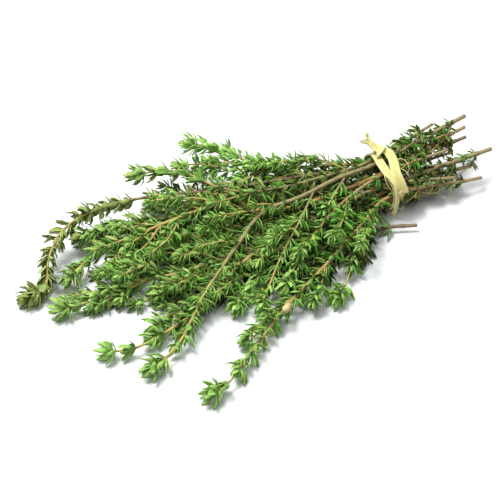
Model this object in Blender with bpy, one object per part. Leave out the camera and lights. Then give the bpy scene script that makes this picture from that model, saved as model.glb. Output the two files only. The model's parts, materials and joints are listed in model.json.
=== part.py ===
"""A bundle of fresh thyme that lies on its side: leafy sprigs held by a knotted strip of raffia.

Metres, +Z up. The origin is on the surface that the bundle lies on, under the raffia.
+X runs to the cut ends of the stems and -X to the leafy tips.
Each sprig is one solid, its woody stem with the side shoots and leaves that grow from it.
"""

import math
import random
from collections import namedtuple

import bmesh
import bpy
import numpy as np
from mathutils import Matrix, Vector
from mathutils.bvhtree import BVHTree

MM = 0.001

# The tie: one turn of a raffia strip round the stems, pulled to an oval
TIE_HALF_WIDTH = 11.6 * MM
TIE_HALF_HEIGHT = 10.4 * MM
TIE_CENTRE_Z = 10.7 * MM
TURN_THICKNESS = 1.5 * MM
# The turn's angle from the top towards the front in degrees, its place along X and its width in millimetres
TURN_COURSE = ((-60, 0.3, 2.8), (-22, -0.5, 2.8), (0, -2.0, 2.9), (24, -2.2, 3.0), (60, -0.6, 2.6),
               (110, -1.2, 2.2), (180, -0.2, 3.0), (250, 0.3, 2.8))
TURN_SEGMENTS = 32
STRIP_WIDTH = 3.2 * MM
STRIP_THICKNESS = 1.3 * MM

# Routes of the strip's ends, in millimetres, from the knot on top of the stems
TAIL_LONG = ((0.2, 4.8, 22.1), (2.2, 3.8, 22.7), (2.8, 1.2, 23.0), (2.4, -2.0, 22.9), (1.6, -4.8, 22.2),
             (0.7, -7.4, 21.0), (0.3, -9.6, 19.4), (0.5, -11.6, 17.0), (1.1, -13.1, 13.9))
TAIL_THIN = ((-2.2, -6.0, 20.2), (-1.4, -8.6, 18.9), (-1.0, -10.8, 17.4), (-1.3, -12.4, 15.0),
             (-1.7, -13.5, 12.2), (-2.3, -14.0, 9.2), (-3.1, -14.0, 6.6))
TAIL_BACK = ((0.6, 4.2, 22.3), (0.0, 5.8, 23.2), (-1.2, 7.6, 24.6), (-2.8, 9.6, 26.2))
KNOT_CENTRE = (0.3, 4.3, 21.7)
KNOT_RADII = (2.3, 2.3, 1.6)

# Stems
STEM_SPACING = 2.75 * MM
FAN_SPACING = 3.9 * MM
SPACING_GROWS_OVER = 32 * MM
STEM_FLOOR = 1.9 * MM
STEM_TO_TIE_GAP = 0.45 * MM
THICKEST_STEM = 1.15 * MM
HELD_WITHIN = 5 * MM
LOOSE_SPRIG_TO_TIE = 2.5 * MM
LOOSE_SPRIG_PASSES = 9 * MM
ROUTE_STEP = 3.0 * MM
STEM_RING_STEP = 11 * MM
TIP_LEAF_REACH = 4.5 * MM
TIP_SHARE = 0.42
SHOOT_SHARE = 0.5
SETTLE_ROUNDS = 160

# Leaves
LEAF_LENGTH = 6.6 * MM
LEAF_WIDTH = 2.9 * MM
LEAF_KEEL = 1.15 * MM
LEAF_WIDEST_AT = 0.45
WOODY_LEAF_SHARE = 0.72
NODE_STEP_WOODY = 7.6 * MM
NODE_STEP_YOUNG = 6.4 * MM
LEAF_ANGLE = 56.0
TIP_LEAF_ANGLE = 24.0
TIP_LEAVES = 4
CLEARANCE = 0.35 * MM
FLOOR_TOUCH = 0.45 * MM
SEED = 7

# name, cut end, where it crosses the tie (y, z), bends, tip, stem radius at the tie, side shoots,
# and how far apart its leaf pairs are against the usual step; all in millimetres
Sprig = namedtuple("Sprig", "name cut tie bends tip radius shoots step")

SPRIGS = (
    Sprig("sprig_01", (43, 8, 20), (2.5, 18.2),
          ((-20, 0, 20.5), (-37, -1, 19), (-52, 1, 16), (-66, -6, 12), (-88, -20, 7), (-106, -34, 4.5)),
          (-121, -39, 4), 1.05,
          (((-32, 0, 19.5), (-44, -9, 15), (-56, -18, 10.5), (-64, -25, 7), (-73, -33, 4.5)),
           ((-15, 0, 20), (-24, -6, 18), (-31, -13, 14))), 1.0),
    Sprig("sprig_02", (40, 2, 15), (6.5, 12.5),
          ((-19, 8, 17), (-57, 18, 18), (-85, 29, 17), (-104, 34, 15), (-119, 33, 12), (-129, 25, 8),
           (-135, 15, 5)),
          (-145, 15, 4), 0.85, (), 1.0),
    Sprig("sprig_03", (41, 5, 17.5), (0, 14.5),
          ((-37, 0, 14), (-55, 6, 15), (-65, 13, 16), (-82, 15, 15), (-96, 17, 12), (-111, 20, 8)),
          (-128, 14, 5), 0.95,
          (((-88, 16, 14), (-96, 12, 11), (-106, 9, 8)),), 1.0),
    Sprig("sprig_04", (24, 4, 16), (8, 15),
          ((-17, 12, 17), (-31, 18, 17), (-42, 25, 18), (-47, 32, 19), (-53, 40, 20)),
          (-62, 47, 20), 0.8,
          (((-36, 21, 17.5), (-53, 28, 17), (-67, 33, 16)),), 1.0),
    Sprig("sprig_05", (29, 10, 20), (6.5, 18),
          ((-25, 6, 18.5), (-50, 9, 19.5), (-62, 17, 20), (-67, 29, 19), (-74, 38, 18)),
          (-87, 43, 17), 0.75, (), 1.0),
    Sprig("sprig_06", (36, -8, 9), (-2, 8.5),
          ((-27, -6, 10), (-58, -7, 9), (-82, -6, 8), (-101, -1, 6), (-115, 3, 5), (-126, 1, 4.5)),
          (-137, 4, 4), 0.9,
          (((-104, 0, 6), (-110, -1, 5), (-116, -4, 4)),), 1.0),
    Sprig("sprig_07", (46, -7, 13), (-4.5, 12),
          ((-18, -6, 12.5), (-42, -9, 11.5), (-67, -12, 9), (-82, -17, 7), (-97, -22, 5), (-113, -26, 4.5),
           (-122, -26, 4)),
          (-131, -22, 4), 1.05, (), 1.0),
    Sprig("sprig_08", (38, -13, 6), (-8.5, 10),
          ((-20, -17, 10), (-36, -25, 9), (-52, -32, 7.5), (-64, -37, 6), (-78, -45, 5), (-90, -52, 4.5),
           (-98, -57, 4)),
          (-108, -59, 4), 0.85,
          (((-56, -34, 7), (-70, -38.5, 6), (-86, -43, 4)),
           ((-42, -28, 8.5), (-48, -35, 7), (-56, -41, 5))), 1.0),
    Sprig("sprig_09", (21, -10, 4), (-9, 6.5),
          ((-16, -15, 7.5), (-26, -23, 7), (-32, -30, 5.5), (-38, -36, 4)),
          (-46, -41, 4), 0.7, (), 1.0),
    Sprig("sprig_10", (18, 7, 8), (4, 9), ((-41, 8, 13), (-71, 15, 12.5), (-92, 24, 12), (-104, 28, 10)),
          (-116, 30, 8), 0.75, (), 1.3),
    Sprig("sprig_11", (22, -1, 6), (-1, 5.5), ((-50, 0, 10), (-77, 4, 9), (-96, 8, 8)),
          (-112, 11, 5), 0.7, (), 1.35),
    Sprig("sprig_12", (16, -5, 4.5), (-4.5, 3.8), ((-41, -8, 6.5), (-70, -8, 6), (-90, -7, 5)),
          (-103, -7, 4), 0.7, (), 1.35),
    Sprig("sprig_13", (19, -11, 7.5), (-6.5, 6.8), ((-38, -12, 8), (-60, -16, 7), (-72, -22, 5)),
          (-80, -28, 4), 0.7, (), 1.2),
    Sprig("sprig_14", (26, -12, 10), (-5.5, 9.2),
          ((-46, -12, 9.5), (-72, -14, 7.5), (-89, -19, 6), (-101, -21, 5)),
          (-111, -21, 4), 0.7, (), 1.2),
    Sprig("sprig_15", (20, 13, 9), (8.8, 8), ((-15, 15, 8), (-30, 22, 7)),
          (-48, 28, 5), 0.65, (), 1.05),
    Sprig("sprig_16", (15, 10, 5), (5, 5.5), ((-41, 13, 9), (-64, 25, 8)),
          (-82, 36, 7), 0.7, (), 1.25),
    Sprig("sprig_17", (14, -9, 3), (-7.3, 3.6), ((-25, -15, 6.5), (-43, -20, 6)),
          (-59, -27, 4), 0.65, (), 1.1),
    Sprig("sprig_18", (28, -3, 17), (-2.8, 17), ((-22, -8, 16.5), (-38, -15, 14), (-50, -22, 10)),
          (-62, -30, 7), 0.7, (), 1.0),
    Sprig("sprig_19", (17, 2, 3), (1, 3.2), ((-40, 4, 5), (-75, 13, 5)),
          (-98, 21, 4), 0.7, (), 1.45),
    Sprig("sprig_20", (31, 1, 11), (2.2, 11.2), ((-30, 4, 9.5), (-62, 12, 8.5), (-88, 18, 6.5)),
          (-106, 20, 5), 0.7, (), 1.4),
    Sprig("sprig_21", (3, -21, 3), None, ((-8, -16.5, 3), (-20, -17, 3.5), (-32, -20, 4), (-46, -23, 4)),
          (-58, -22, 4), 0.85, (), 1.1),
)


def clear_scene():
    for found in list(bpy.data.objects):
        bpy.data.objects.remove(found)


def new_collection(name):
    made = bpy.data.collections.new(name)
    bpy.context.scene.collection.children.link(made)
    return made


def plain_material(name, colour, roughness):
    made = bpy.data.materials.new(name)
    made.use_nodes = True
    shader = made.node_tree.nodes["Principled BSDF"]
    shader.inputs["Base Color"].default_value = (*colour, 1.0)
    shader.inputs["Roughness"].default_value = roughness
    shader.inputs["Metallic"].default_value = 0.0
    made.diffuse_color = (*colour, 1.0)
    return made


def smooth_route(points, step):
    """Points a step apart along the smooth curve through the given ones."""
    knots = np.array(points, float)
    ends = np.vstack([2 * knots[0] - knots[1], knots, 2 * knots[-1] - knots[-2]])
    fine = []
    for p0, p1, p2, p3 in zip(ends[:-3], ends[1:-2], ends[2:-1], ends[3:]):
        for t in np.linspace(0, 1, 12, endpoint=False):
            fine.append(0.5 * (2 * p1 + (p2 - p0) * t + (2 * p0 - 5 * p1 + 4 * p2 - p3) * t * t
                               + (3 * p1 - 3 * p2 + p3 - p0) * t ** 3))
    fine.append(knots[-1])
    return resample(np.array(fine), step)


def resample(line, step):
    along = np.concatenate([[0], np.cumsum(np.linalg.norm(np.diff(line, axis=0), axis=1))])
    count = max(3, round(along[-1] / step) + 1)
    places = np.linspace(0, along[-1], count)
    return np.stack([np.interp(places, along, line[:, k]) for k in range(3)], axis=1)


def short_of_tip(line):
    """The route without its last few millimetres, which the leaves at the tip fill."""
    along = np.concatenate([[0], np.cumsum(np.linalg.norm(np.diff(line, axis=0), axis=1))])
    end = along[-1] - TIP_LEAF_REACH
    last = [np.interp(end, along, line[:, k]) for k in range(3)]
    return resample(np.vstack([line[along < end], last]), ROUTE_STEP)


def sprig_routes():
    """The route of each stem and each shoot, with the number of the sprig that it belongs to."""
    routes, owners, mains = [], [], []
    for number, sprig in enumerate(SPRIGS):
        crossing = [] if sprig.tie is None else [(0, *sprig.tie)]
        stem = [sprig.cut, *crossing, *sprig.bends, sprig.tip]
        main = len(routes)
        for points in (stem, *sprig.shoots):
            routes.append(short_of_tip(smooth_route(np.array(points) * MM, ROUTE_STEP)))
            owners.append(number)
            mains.append(main)
    return routes, owners, mains


def settle(routes, owners, mains):
    """Bends the stems clear of each other, as they rest on one another in a real bundle."""
    start = np.vstack(routes)
    owner = np.concatenate([np.full(len(r), n) for r, n in zip(routes, owners)])
    firsts = np.concatenate([[0], np.cumsum([len(r) for r in routes])])
    other = owner[:, None] != owner[None, :]
    grown = np.clip((np.abs(start[:, 0]) - 6 * MM) / SPACING_GROWS_OVER, 0, 1)
    wanted = STEM_SPACING + (FAN_SPACING - STEM_SPACING) * grown
    spacing = (wanted[:, None] + wanted[None, :]) / 2
    tied = np.array([sprig.tie is not None for sprig in SPRIGS])[owner]
    shift = np.zeros_like(start)
    for _ in range(SETTLE_ROUNDS):
        place = start + shift
        apart = place[:, None, :] - place[None, :, :]
        far = np.linalg.norm(apart, axis=2) + 1e-9
        near = other & (far < spacing)
        push = np.where(near, (spacing - far) / far, 0.0)
        shift += 0.22 * np.einsum("ij,ijk->ik", push, apart)
        for first, last in zip(firsts[:-1], firsts[1:]):
            run = shift[first:last]
            run[1:-1] += 0.25 * (run[:-2] + run[2:] - 2 * run[1:-1])
        place = start + shift
        hold_in_tie(place, tied)
        keep_outside_tie(place, tied)
        place[:, 2] = np.maximum(place[:, 2], STEM_FLOOR)
        shift = place - start
        for k, main in enumerate(mains):
            if main != k:
                follow_stem(shift, start, firsts, k, main)
        shift *= 0.998
    place = start + shift
    return [place[a:b] for a, b in zip(firsts[:-1], firsts[1:])]


def hold_in_tie(place, tied):
    """Stems that the raffia goes round stay inside it."""
    inner_y = TIE_HALF_WIDTH - TURN_THICKNESS / 2 - THICKEST_STEM - STEM_TO_TIE_GAP
    inner_z = TIE_HALF_HEIGHT - TURN_THICKNESS / 2 - THICKEST_STEM - STEM_TO_TIE_GAP
    near = tied & (np.abs(place[:, 0]) < HELD_WITHIN)
    y = place[near, 1] / inner_y
    z = (place[near, 2] - TIE_CENTRE_Z) / inner_z
    reach = np.maximum(np.hypot(y, z), 1.0)
    place[near, 1] = y / reach * inner_y
    place[near, 2] = TIE_CENTRE_Z + z / reach * inner_z


def keep_outside_tie(place, tied):
    """The sprig that lies beside the bundle stays clear of the raffia."""
    limit = -(TIE_HALF_WIDTH + TURN_THICKNESS / 2 + LOOSE_SPRIG_TO_TIE)
    near = ~tied & (np.abs(place[:, 0]) < LOOSE_SPRIG_PASSES)
    place[near, 1] = np.minimum(place[near, 1], limit)


def follow_stem(shift, start, firsts, shoot, main):
    """Keeps a shoot's root on the stem that it grows from, however far that was moved."""
    root = start[firsts[shoot]]
    stem = start[firsts[main]:firsts[main + 1]]
    nearest = firsts[main] + int(np.argmin(np.linalg.norm(stem - root, axis=1)))
    joined = start[nearest] + shift[nearest] - root
    count = min(6, firsts[shoot + 1] - firsts[shoot])
    for k in range(count):
        share = 1 - k / count
        here = firsts[shoot] + k
        shift[here] = share * joined + (1 - share) * shift[here]


def tube(name, line, radii, sides, collection):
    """A closed tube along a line, as a mesh object: a curve with a bevel, its caps welded."""
    curve = bpy.data.curves.new(name, "CURVE")
    curve.dimensions = "3D"
    curve.bevel_depth = 1.0
    curve.bevel_resolution = (sides - 4) // 2
    curve.use_fill_caps = True
    curve.twist_mode = "MINIMUM"
    spline = curve.splines.new("POLY")
    spline.points.add(len(line) - 1)
    for point, place, radius in zip(spline.points, line, radii):
        point.co = (*place, 1.0)
        point.radius = radius
    return meshed(curve, name, collection)


def strip(name, points, width, thickness, collection):
    """A flat strip of raffia along a smooth route: a curve with an oval profile, ends tapered a little."""
    profile = bpy.data.curves.new(name + "_profile", "CURVE")
    profile.dimensions = "2D"
    outline = profile.splines.new("POLY")
    corners = 6
    outline.points.add(corners - 1)
    outline.use_cyclic_u = True
    for k, point in enumerate(outline.points):
        turn = math.tau * k / corners
        point.co = (width / 2 * math.cos(turn), thickness / 2 * math.sin(turn), 0, 1)
    section = bpy.data.objects.new(name + "_profile", profile)
    collection.objects.link(section)
    line = smooth_route(np.array(points) * MM, 2.2 * MM)
    curve = bpy.data.curves.new(name, "CURVE")
    curve.dimensions = "3D"
    curve.bevel_mode = "OBJECT"
    curve.bevel_object = section
    curve.use_fill_caps = True
    curve.twist_mode = "Z_UP"
    spline = curve.splines.new("POLY")
    spline.points.add(len(line) - 1)
    for k, (point, place) in enumerate(zip(spline.points, line)):
        point.co = (*place, 1.0)
        point.radius = 1.0 if 0 < k < len(line) - 1 else 0.8
    made = meshed(curve, name, collection)
    bpy.data.objects.remove(section)
    return made


def meshed(curve, name, collection):
    """The curve's evaluated shape as a mesh object with its caps welded; the curve is removed."""
    source = bpy.data.objects.new(name + "_curve", curve)
    collection.objects.link(source)
    bpy.context.view_layer.update()
    graph = bpy.context.evaluated_depsgraph_get()
    mesh = bpy.data.meshes.new_from_object(source.evaluated_get(graph))
    made = bpy.data.objects.new(name, mesh)
    made.matrix_world = source.matrix_world
    collection.objects.link(made)
    bpy.data.objects.remove(source)
    shape = bmesh.new()
    shape.from_mesh(mesh)
    bmesh.ops.remove_doubles(shape, verts=shape.verts, dist=0.001 * MM)
    bmesh.ops.recalc_face_normals(shape, faces=shape.faces)
    shape.to_mesh(mesh)
    shape.free()
    return made


def join_all(body, others, collection):
    """One Boolean union of a body with a collection of overlapping shapes, applied."""
    union = body.modifiers.new("union", "BOOLEAN")
    union.operation = "UNION"
    union.operand_type = "COLLECTION"
    union.collection = others
    union.solver = "EXACT"
    bpy.context.view_layer.update()
    graph = bpy.context.evaluated_depsgraph_get()
    mesh = bpy.data.meshes.new_from_object(body.evaluated_get(graph))
    made = bpy.data.objects.new(body.name + "_joined", mesh)
    collection.objects.link(made)
    name = body.name
    bpy.data.objects.remove(body)
    for used in list(others.objects):
        bpy.data.objects.remove(used)
    bpy.data.collections.remove(others)
    made.name = name
    return made


def obstacle_tree(shapes):
    """One search tree over the faces of several shapes, each a pair of points and faces."""
    points, faces = [], []
    for verts, polygons in shapes:
        base = len(points)
        points.extend(verts)
        faces.extend([tuple(base + k for k in polygon) for polygon in polygons])
    return BVHTree.FromPolygons(points, faces)


def shape_of(obj):
    world = obj.matrix_world
    return [world @ v.co for v in obj.data.vertices], [tuple(p.vertices) for p in obj.data.polygons]


def raffia_turn(name, collection):
    """The strip round the stems: a torus pressed flat and stretched to the oval."""
    bpy.ops.mesh.primitive_torus_add(
        major_segments=TURN_SEGMENTS, minor_segments=6, major_radius=1.0, minor_radius=0.1,
        rotation=(0, math.pi / 2, 0))
    made = bpy.context.object
    made.name = name
    for owner in list(made.users_collection):
        owner.objects.unlink(made)
    collection.objects.link(made)
    made.data.transform(made.matrix_basis)
    made.matrix_basis = Matrix.Identity(4)
    angles, places, widths = np.array(TURN_COURSE).T
    for vertex in made.data.vertices:
        out = math.hypot(vertex.co.y, vertex.co.z)
        angle = math.degrees(math.atan2(-vertex.co.y, vertex.co.z))
        depth = (out - 1.0) / 0.1 * TURN_THICKNESS / 2
        side = vertex.co.x / 0.1 * np.interp(angle, angles, widths, period=360) / 2
        vertex.co = Vector((
            (np.interp(angle, angles, places, period=360) + side) * MM,
            vertex.co.y / out * (TIE_HALF_WIDTH + depth),
            vertex.co.z / out * (TIE_HALF_HEIGHT + depth) + TIE_CENTRE_Z))
    return made


def raffia_tie(collection, cutters):
    """The raffia: a turn, a knot on top and three loose ends, cut flat where the bundle lies on it."""
    pieces = new_collection("raffia_pieces")
    body = raffia_turn("raffia_tie", collection)
    strip("tail_long", TAIL_LONG, STRIP_WIDTH, STRIP_THICKNESS, pieces)
    strip("tail_thin", TAIL_THIN, STRIP_WIDTH * 0.55, STRIP_THICKNESS, pieces)
    strip("tail_back", TAIL_BACK, STRIP_WIDTH * 1.1, STRIP_THICKNESS * 1.6, pieces)
    knot_mesh = bpy.data.meshes.new("knot")
    shape = bmesh.new()
    bmesh.ops.create_uvsphere(shape, u_segments=10, v_segments=6, radius=1.0)
    bmesh.ops.scale(shape, vec=Vector(KNOT_RADII) * MM, verts=shape.verts)
    bmesh.ops.translate(shape, vec=Vector(KNOT_CENTRE) * MM, verts=shape.verts)
    shape.to_mesh(knot_mesh)
    shape.free()
    pieces.objects.link(bpy.data.objects.new("knot", knot_mesh))
    joined = join_all(body, pieces, collection)
    rest_flat(joined, cutters)
    return joined


def rest_flat(obj, cutters):
    """Cuts away what would reach under the surface, which leaves a flat spot to rest on."""
    bpy.ops.mesh.primitive_cube_add(size=1, location=(0, 0, -10 * MM))
    box = bpy.context.object
    box.name = "surface_cutter"
    box.data.transform(Matrix.Diagonal((80 * MM, 80 * MM, 20 * MM, 1)))
    for owner in list(box.users_collection):
        owner.objects.unlink(box)
    cutters.objects.link(box)
    box.hide_render = True
    box.display_type = "WIRE"
    cut = obj.modifiers.new("flat_spot", "BOOLEAN")
    cut.operation = "DIFFERENCE"
    cut.object = box
    cut.solver = "EXACT"


def leaf_shape(length, width, keel):
    """A small lance-shaped leaf along +Z from its root at the origin: flat above, keeled below."""
    shape = bmesh.new()
    bmesh.ops.create_uvsphere(shape, u_segments=3, v_segments=2, radius=1.0)
    for vertex in shape.verts:
        turn = math.atan2(vertex.co.y, vertex.co.x)
        on_ring = abs(vertex.co.z) < 0.5
        vertex.co = Vector((
            width / math.sqrt(3) * math.cos(turn) if on_ring else 0,
            keel * (2 * math.sin(turn) + 1) / 3 if on_ring else 0,
            length * (LEAF_WIDEST_AT if on_ring else (vertex.co.z + 1) / 2)))
    points = [v.co.copy() for v in shape.verts]
    faces = [tuple(v.index for v in f.verts) for f in shape.faces]
    shape.free()
    return points, faces


def leaf_frame(root, along_stem, outward, angle):
    """The matrix that sets a leaf on a stem: +Z along the leaf, +Y to its underside."""
    lean = math.radians(angle)
    direction = math.cos(lean) * along_stem + math.sin(lean) * outward
    under = -(math.sin(lean) * along_stem - math.cos(lean) * outward)
    across = under.cross(direction)
    turned = Matrix((across, under, direction)).transposed().to_4x4()
    turned.translation = root
    return turned


def lifted_off_surface(frame, points):
    """The leaf turned up about its root until no part of it is under the surface, or None."""
    for _ in range(14):
        placed = [frame @ p for p in points]
        if min(p.z for p in placed) >= 0:
            return placed
        root = frame.translation.copy()
        direction = frame.col[2].to_3d()
        hinge = direction.cross(Vector((0, 0, 1)))
        if hinge.length < 1e-6:
            return None
        turn = Matrix.Rotation(math.radians(7), 4, hinge.normalized())
        frame = Matrix.Translation(root) @ turn @ Matrix.Translation(-root) @ frame
    return None


def grown(points, by):
    """The leaf's points moved out from its middle line, for a test that asks for clearance."""
    middle = sum(points, Vector()) / len(points)
    return [p + (p - middle).normalized() * by for p in points]


def leaf_nodes(line, young_from, step_share):
    """Places along a stem where a pair of leaves grows, with each one's share of the way to the tip."""
    along = np.concatenate([[0], np.cumsum(np.linalg.norm(np.diff(line, axis=0), axis=1))])
    total = along[-1]
    places, here = [], 7 * MM
    while here < total - 3 * MM:
        share = here / total
        places.append((here, share))
        young = max(0.0, min(1.0, (share - young_from) / (1 - young_from)))
        here += step_share * (NODE_STEP_WOODY + (NODE_STEP_YOUNG - NODE_STEP_WOODY) * young)
    found = []
    for here, share in places:
        point = Vector([np.interp(here, along, line[:, k]) for k in range(3)])
        ahead = Vector([np.interp(here + 2 * MM, along, line[:, k]) for k in range(3)])
        back = Vector([np.interp(here - 2 * MM, along, line[:, k]) for k in range(3)])
        found.append((point, (ahead - back).normalized(), share))
    return found


def place_leaf(root, along_stem, outward, angle, size, blocked):
    """The first way to hold this leaf that is clear of the other sprigs, or None."""
    template, faces = leaf_shape(LEAF_LENGTH * size, LEAF_WIDTH * size, LEAF_KEEL * (0.7 + 0.3 * size))
    for bend in (0, -16, -30, 14):
        for swing in (0, 22, -22, 45, -45):
            side = Matrix.Rotation(math.radians(swing), 3, along_stem) @ outward
            frame = leaf_frame(root, along_stem, side, max(12, angle + bend))
            placed = lifted_off_surface(frame, template)
            if placed is None:
                continue
            lowest = min(placed, key=lambda p: p.z)
            if 0 < lowest.z < FLOOR_TOUCH and lowest == max(placed, key=lambda p: (p - root).length):
                lowest.z = 0.0
            tested = BVHTree.FromPolygons(grown(placed, CLEARANCE), faces)
            if not any(tree.overlap(tested) for tree in blocked):
                return placed, faces
    return None


def sprig_leaves(sprig, lines, number, blocked):
    """Every leaf of one sprig, as placed points and faces: crossed pairs and a tuft at each tip."""
    draw = random.Random(SEED * 100 + number)
    leaves = []
    for k, line in enumerate(lines):
        young_from = 0.35 if k == 0 else -0.5
        turn = draw.uniform(0, math.tau)
        for point, tangent, share in leaf_nodes(line, young_from, sprig.step):
            side = tangent.orthogonal().normalized()
            young = max(0.0, min(1.0, (share - 0.15) / 0.5)) if k == 0 else 1.0
            size = (WOODY_LEAF_SHARE + (1 - WOODY_LEAF_SHARE) * young) * draw.uniform(0.88, 1.1)
            for half in (0, 1):
                around = turn + half * math.pi + draw.uniform(-0.25, 0.25)
                outward = Matrix.Rotation(around, 3, tangent) @ side
                angle = LEAF_ANGLE + draw.uniform(-10, 10) - 10 * share
                root = point - outward * 0.1 * MM
                leaves.append(place_leaf(root, tangent, outward, angle, size, blocked))
            turn += math.pi / 2 + draw.uniform(-0.2, 0.2)
        end = Vector(line[-1])
        tangent = (end - Vector(line[-2])).normalized()
        side = tangent.orthogonal().normalized()
        for k_tip in range(TIP_LEAVES):
            around = turn + math.tau * k_tip / TIP_LEAVES + draw.uniform(-0.2, 0.2)
            outward = Matrix.Rotation(around, 3, tangent) @ side
            angle = TIP_LEAF_ANGLE + draw.uniform(-6, 8)
            root = end - tangent * (0.5 * MM)
            leaves.append(place_leaf(root, tangent, outward, angle, draw.uniform(0.9, 1.05), blocked))
    return [leaf for leaf in leaves if leaf is not None]


def ring_places(line):
    """Where a stem has its rings of corners: the route with fewer points."""
    length = np.linalg.norm(np.diff(line, axis=0), axis=1).sum()
    return resample(line, length / max(4, round(length / STEM_RING_STEP)))


def stem_tube(name, line, radius, tip_radius, collection):
    """The woody stem or a shoot, square in section as thyme's is, thinner towards its tip."""
    return tube(name, line, np.linspace(radius, tip_radius, len(line)), 4, collection)


def sprig_solid(sprig, lines, leaves, materials, collection):
    """The stem, shoots and leaves of one sprig, joined to one solid."""
    pieces = new_collection(sprig.name + "_pieces")
    radius = sprig.radius * MM
    body = stem_tube(sprig.name, lines[0], radius, radius * TIP_SHARE, collection)
    body.data.materials.append(materials["stem"])
    body.data.materials.append(materials["leaf"])
    for k, line in enumerate(lines[1:]):
        shoot = stem_tube(f"shoot_{k}", line, radius * SHOOT_SHARE, radius * TIP_SHARE, pieces)
        shoot.data.materials.append(materials["stem"])
    for k, (points, faces) in enumerate(leaves):
        mesh = bpy.data.meshes.new(f"leaf_{k}")
        mesh.from_pydata(points, [], faces)
        mesh.materials.append(materials["leaf"])
        pieces.objects.link(bpy.data.objects.new(f"leaf_{k}", mesh))
    made = join_all(body, pieces, collection)
    made.data.shade_flat()
    return made


def main():
    clear_scene()
    bundle = new_collection("thyme_bundle")
    cutters = new_collection("cutters")
    materials = {
        "leaf": plain_material("thyme_leaf", (0.09, 0.23, 0.03), 0.5),
        "stem": plain_material("thyme_stem", (0.33, 0.2, 0.08), 0.65),
        "raffia": plain_material("raffia", (0.86, 0.76, 0.4), 0.7),
    }
    tie = raffia_tie(bundle, cutters)
    tie.data.materials.clear()
    tie.data.materials.append(materials["raffia"])
    routes, owners, mains = sprig_routes()
    routes = settle(routes, owners, mains)
    lines_of = [
        [ring_places(r) for r, n in zip(routes, owners) if n == number] for number in range(len(SPRIGS))]

    stem_shapes = []
    trial = new_collection("trial_stems")
    for sprig, lines in zip(SPRIGS, lines_of):
        shapes = []
        for k, line in enumerate(lines):
            radius = sprig.radius * MM * (1.0 if k == 0 else SHOOT_SHARE)
            made = stem_tube("trial", line, radius, sprig.radius * MM * TIP_SHARE, trial)
            shapes.append(shape_of(made))
            bpy.data.objects.remove(made)
        stem_shapes.append(shapes)
    bpy.data.collections.remove(trial)

    tie_tree = obstacle_tree([shape_of(tie)])
    leaf_shapes = []
    for number, sprig in enumerate(SPRIGS):
        others = [s for n, shapes in enumerate(stem_shapes) if n != number for s in shapes]
        blocked = [tie_tree, obstacle_tree(others)]
        if leaf_shapes:
            blocked.append(obstacle_tree(leaf_shapes))
        leaves = sprig_leaves(sprig, lines_of[number], number, blocked)
        leaf_shapes.extend(leaves)
        sprig_solid(sprig, lines_of[number], leaves, materials, bundle)


main()
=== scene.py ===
"""A bundle of fresh thyme tied with raffia: its leaves, bark and fibres, built over the fixed frame.

Every sprig of the frame is replaced by a finer one on the same route, with its full coat of leaves,
and the tie by a strip of pleated raffia with frayed ends. The frame's own solids aren't changed.
"""

import json
import math
import random
from collections import namedtuple

import bpy
import numpy as np
from bpy.props import FloatProperty, FloatVectorProperty, IntProperty, PointerProperty
from bpy.types import Operator, Panel, PropertyGroup
from mathutils import Matrix, Vector
from mathutils.bvhtree import BVHTree

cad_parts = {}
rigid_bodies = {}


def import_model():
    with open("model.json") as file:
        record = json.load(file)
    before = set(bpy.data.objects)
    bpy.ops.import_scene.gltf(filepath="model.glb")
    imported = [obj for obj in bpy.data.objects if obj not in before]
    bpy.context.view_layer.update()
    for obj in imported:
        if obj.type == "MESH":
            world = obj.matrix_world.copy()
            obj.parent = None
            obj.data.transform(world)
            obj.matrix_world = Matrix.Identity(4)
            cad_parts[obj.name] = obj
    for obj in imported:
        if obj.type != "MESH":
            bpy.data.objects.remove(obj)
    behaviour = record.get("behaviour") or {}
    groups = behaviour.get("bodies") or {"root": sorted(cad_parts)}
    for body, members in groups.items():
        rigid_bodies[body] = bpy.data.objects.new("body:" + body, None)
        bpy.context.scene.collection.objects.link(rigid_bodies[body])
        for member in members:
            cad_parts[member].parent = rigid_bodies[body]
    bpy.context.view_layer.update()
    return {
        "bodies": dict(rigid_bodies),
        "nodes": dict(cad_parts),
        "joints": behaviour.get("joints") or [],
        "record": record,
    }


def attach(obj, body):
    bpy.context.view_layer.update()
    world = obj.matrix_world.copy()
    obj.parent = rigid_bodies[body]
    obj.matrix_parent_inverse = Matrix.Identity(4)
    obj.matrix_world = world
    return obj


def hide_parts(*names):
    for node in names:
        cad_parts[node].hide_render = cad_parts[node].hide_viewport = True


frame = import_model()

bl_info = {
    "name": "Thyme Bundle",
    "version": (1, 0, 0),
    "blender": (4, 5, 0),
    "location": "View3D > Sidebar > Thyme",
    "description": "Dresses a frame of tied thyme sprigs with bark, leaves and raffia",
    "category": "Object",
}

MM = 0.001
SEED = 7

# The oval that the raffia is pulled to, and how stems settle in it, as in the frame
TIE_HALF_WIDTH = 11.6 * MM
TIE_HALF_HEIGHT = 10.4 * MM
TIE_CENTRE_Z = 10.7 * MM
TURN_THICKNESS = 1.5 * MM
STEM_SPACING = 2.75 * MM
FAN_SPACING = 3.9 * MM
SPACING_GROWS_FROM = 6 * MM
SPACING_GROWS_OVER = 32 * MM
STEM_FLOOR = 1.9 * MM
STEM_TO_TIE_GAP = 0.45 * MM
THICKEST_STEM = 1.15 * MM
HELD_WITHIN = 5 * MM
LOOSE_SPRIG_TO_TIE = 2.5 * MM
LOOSE_SPRIG_PASSES = 9 * MM
ROUTE_STEP = 3.0 * MM
TIP_LEAF_REACH = 4.5 * MM
SETTLE_ROUNDS = 160
PUSH_SHARE = 0.22
EVEN_OUT_SHARE = 0.25
SHIFT_KEPT = 0.998
ROOT_FOLLOWS_OVER = 6

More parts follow.
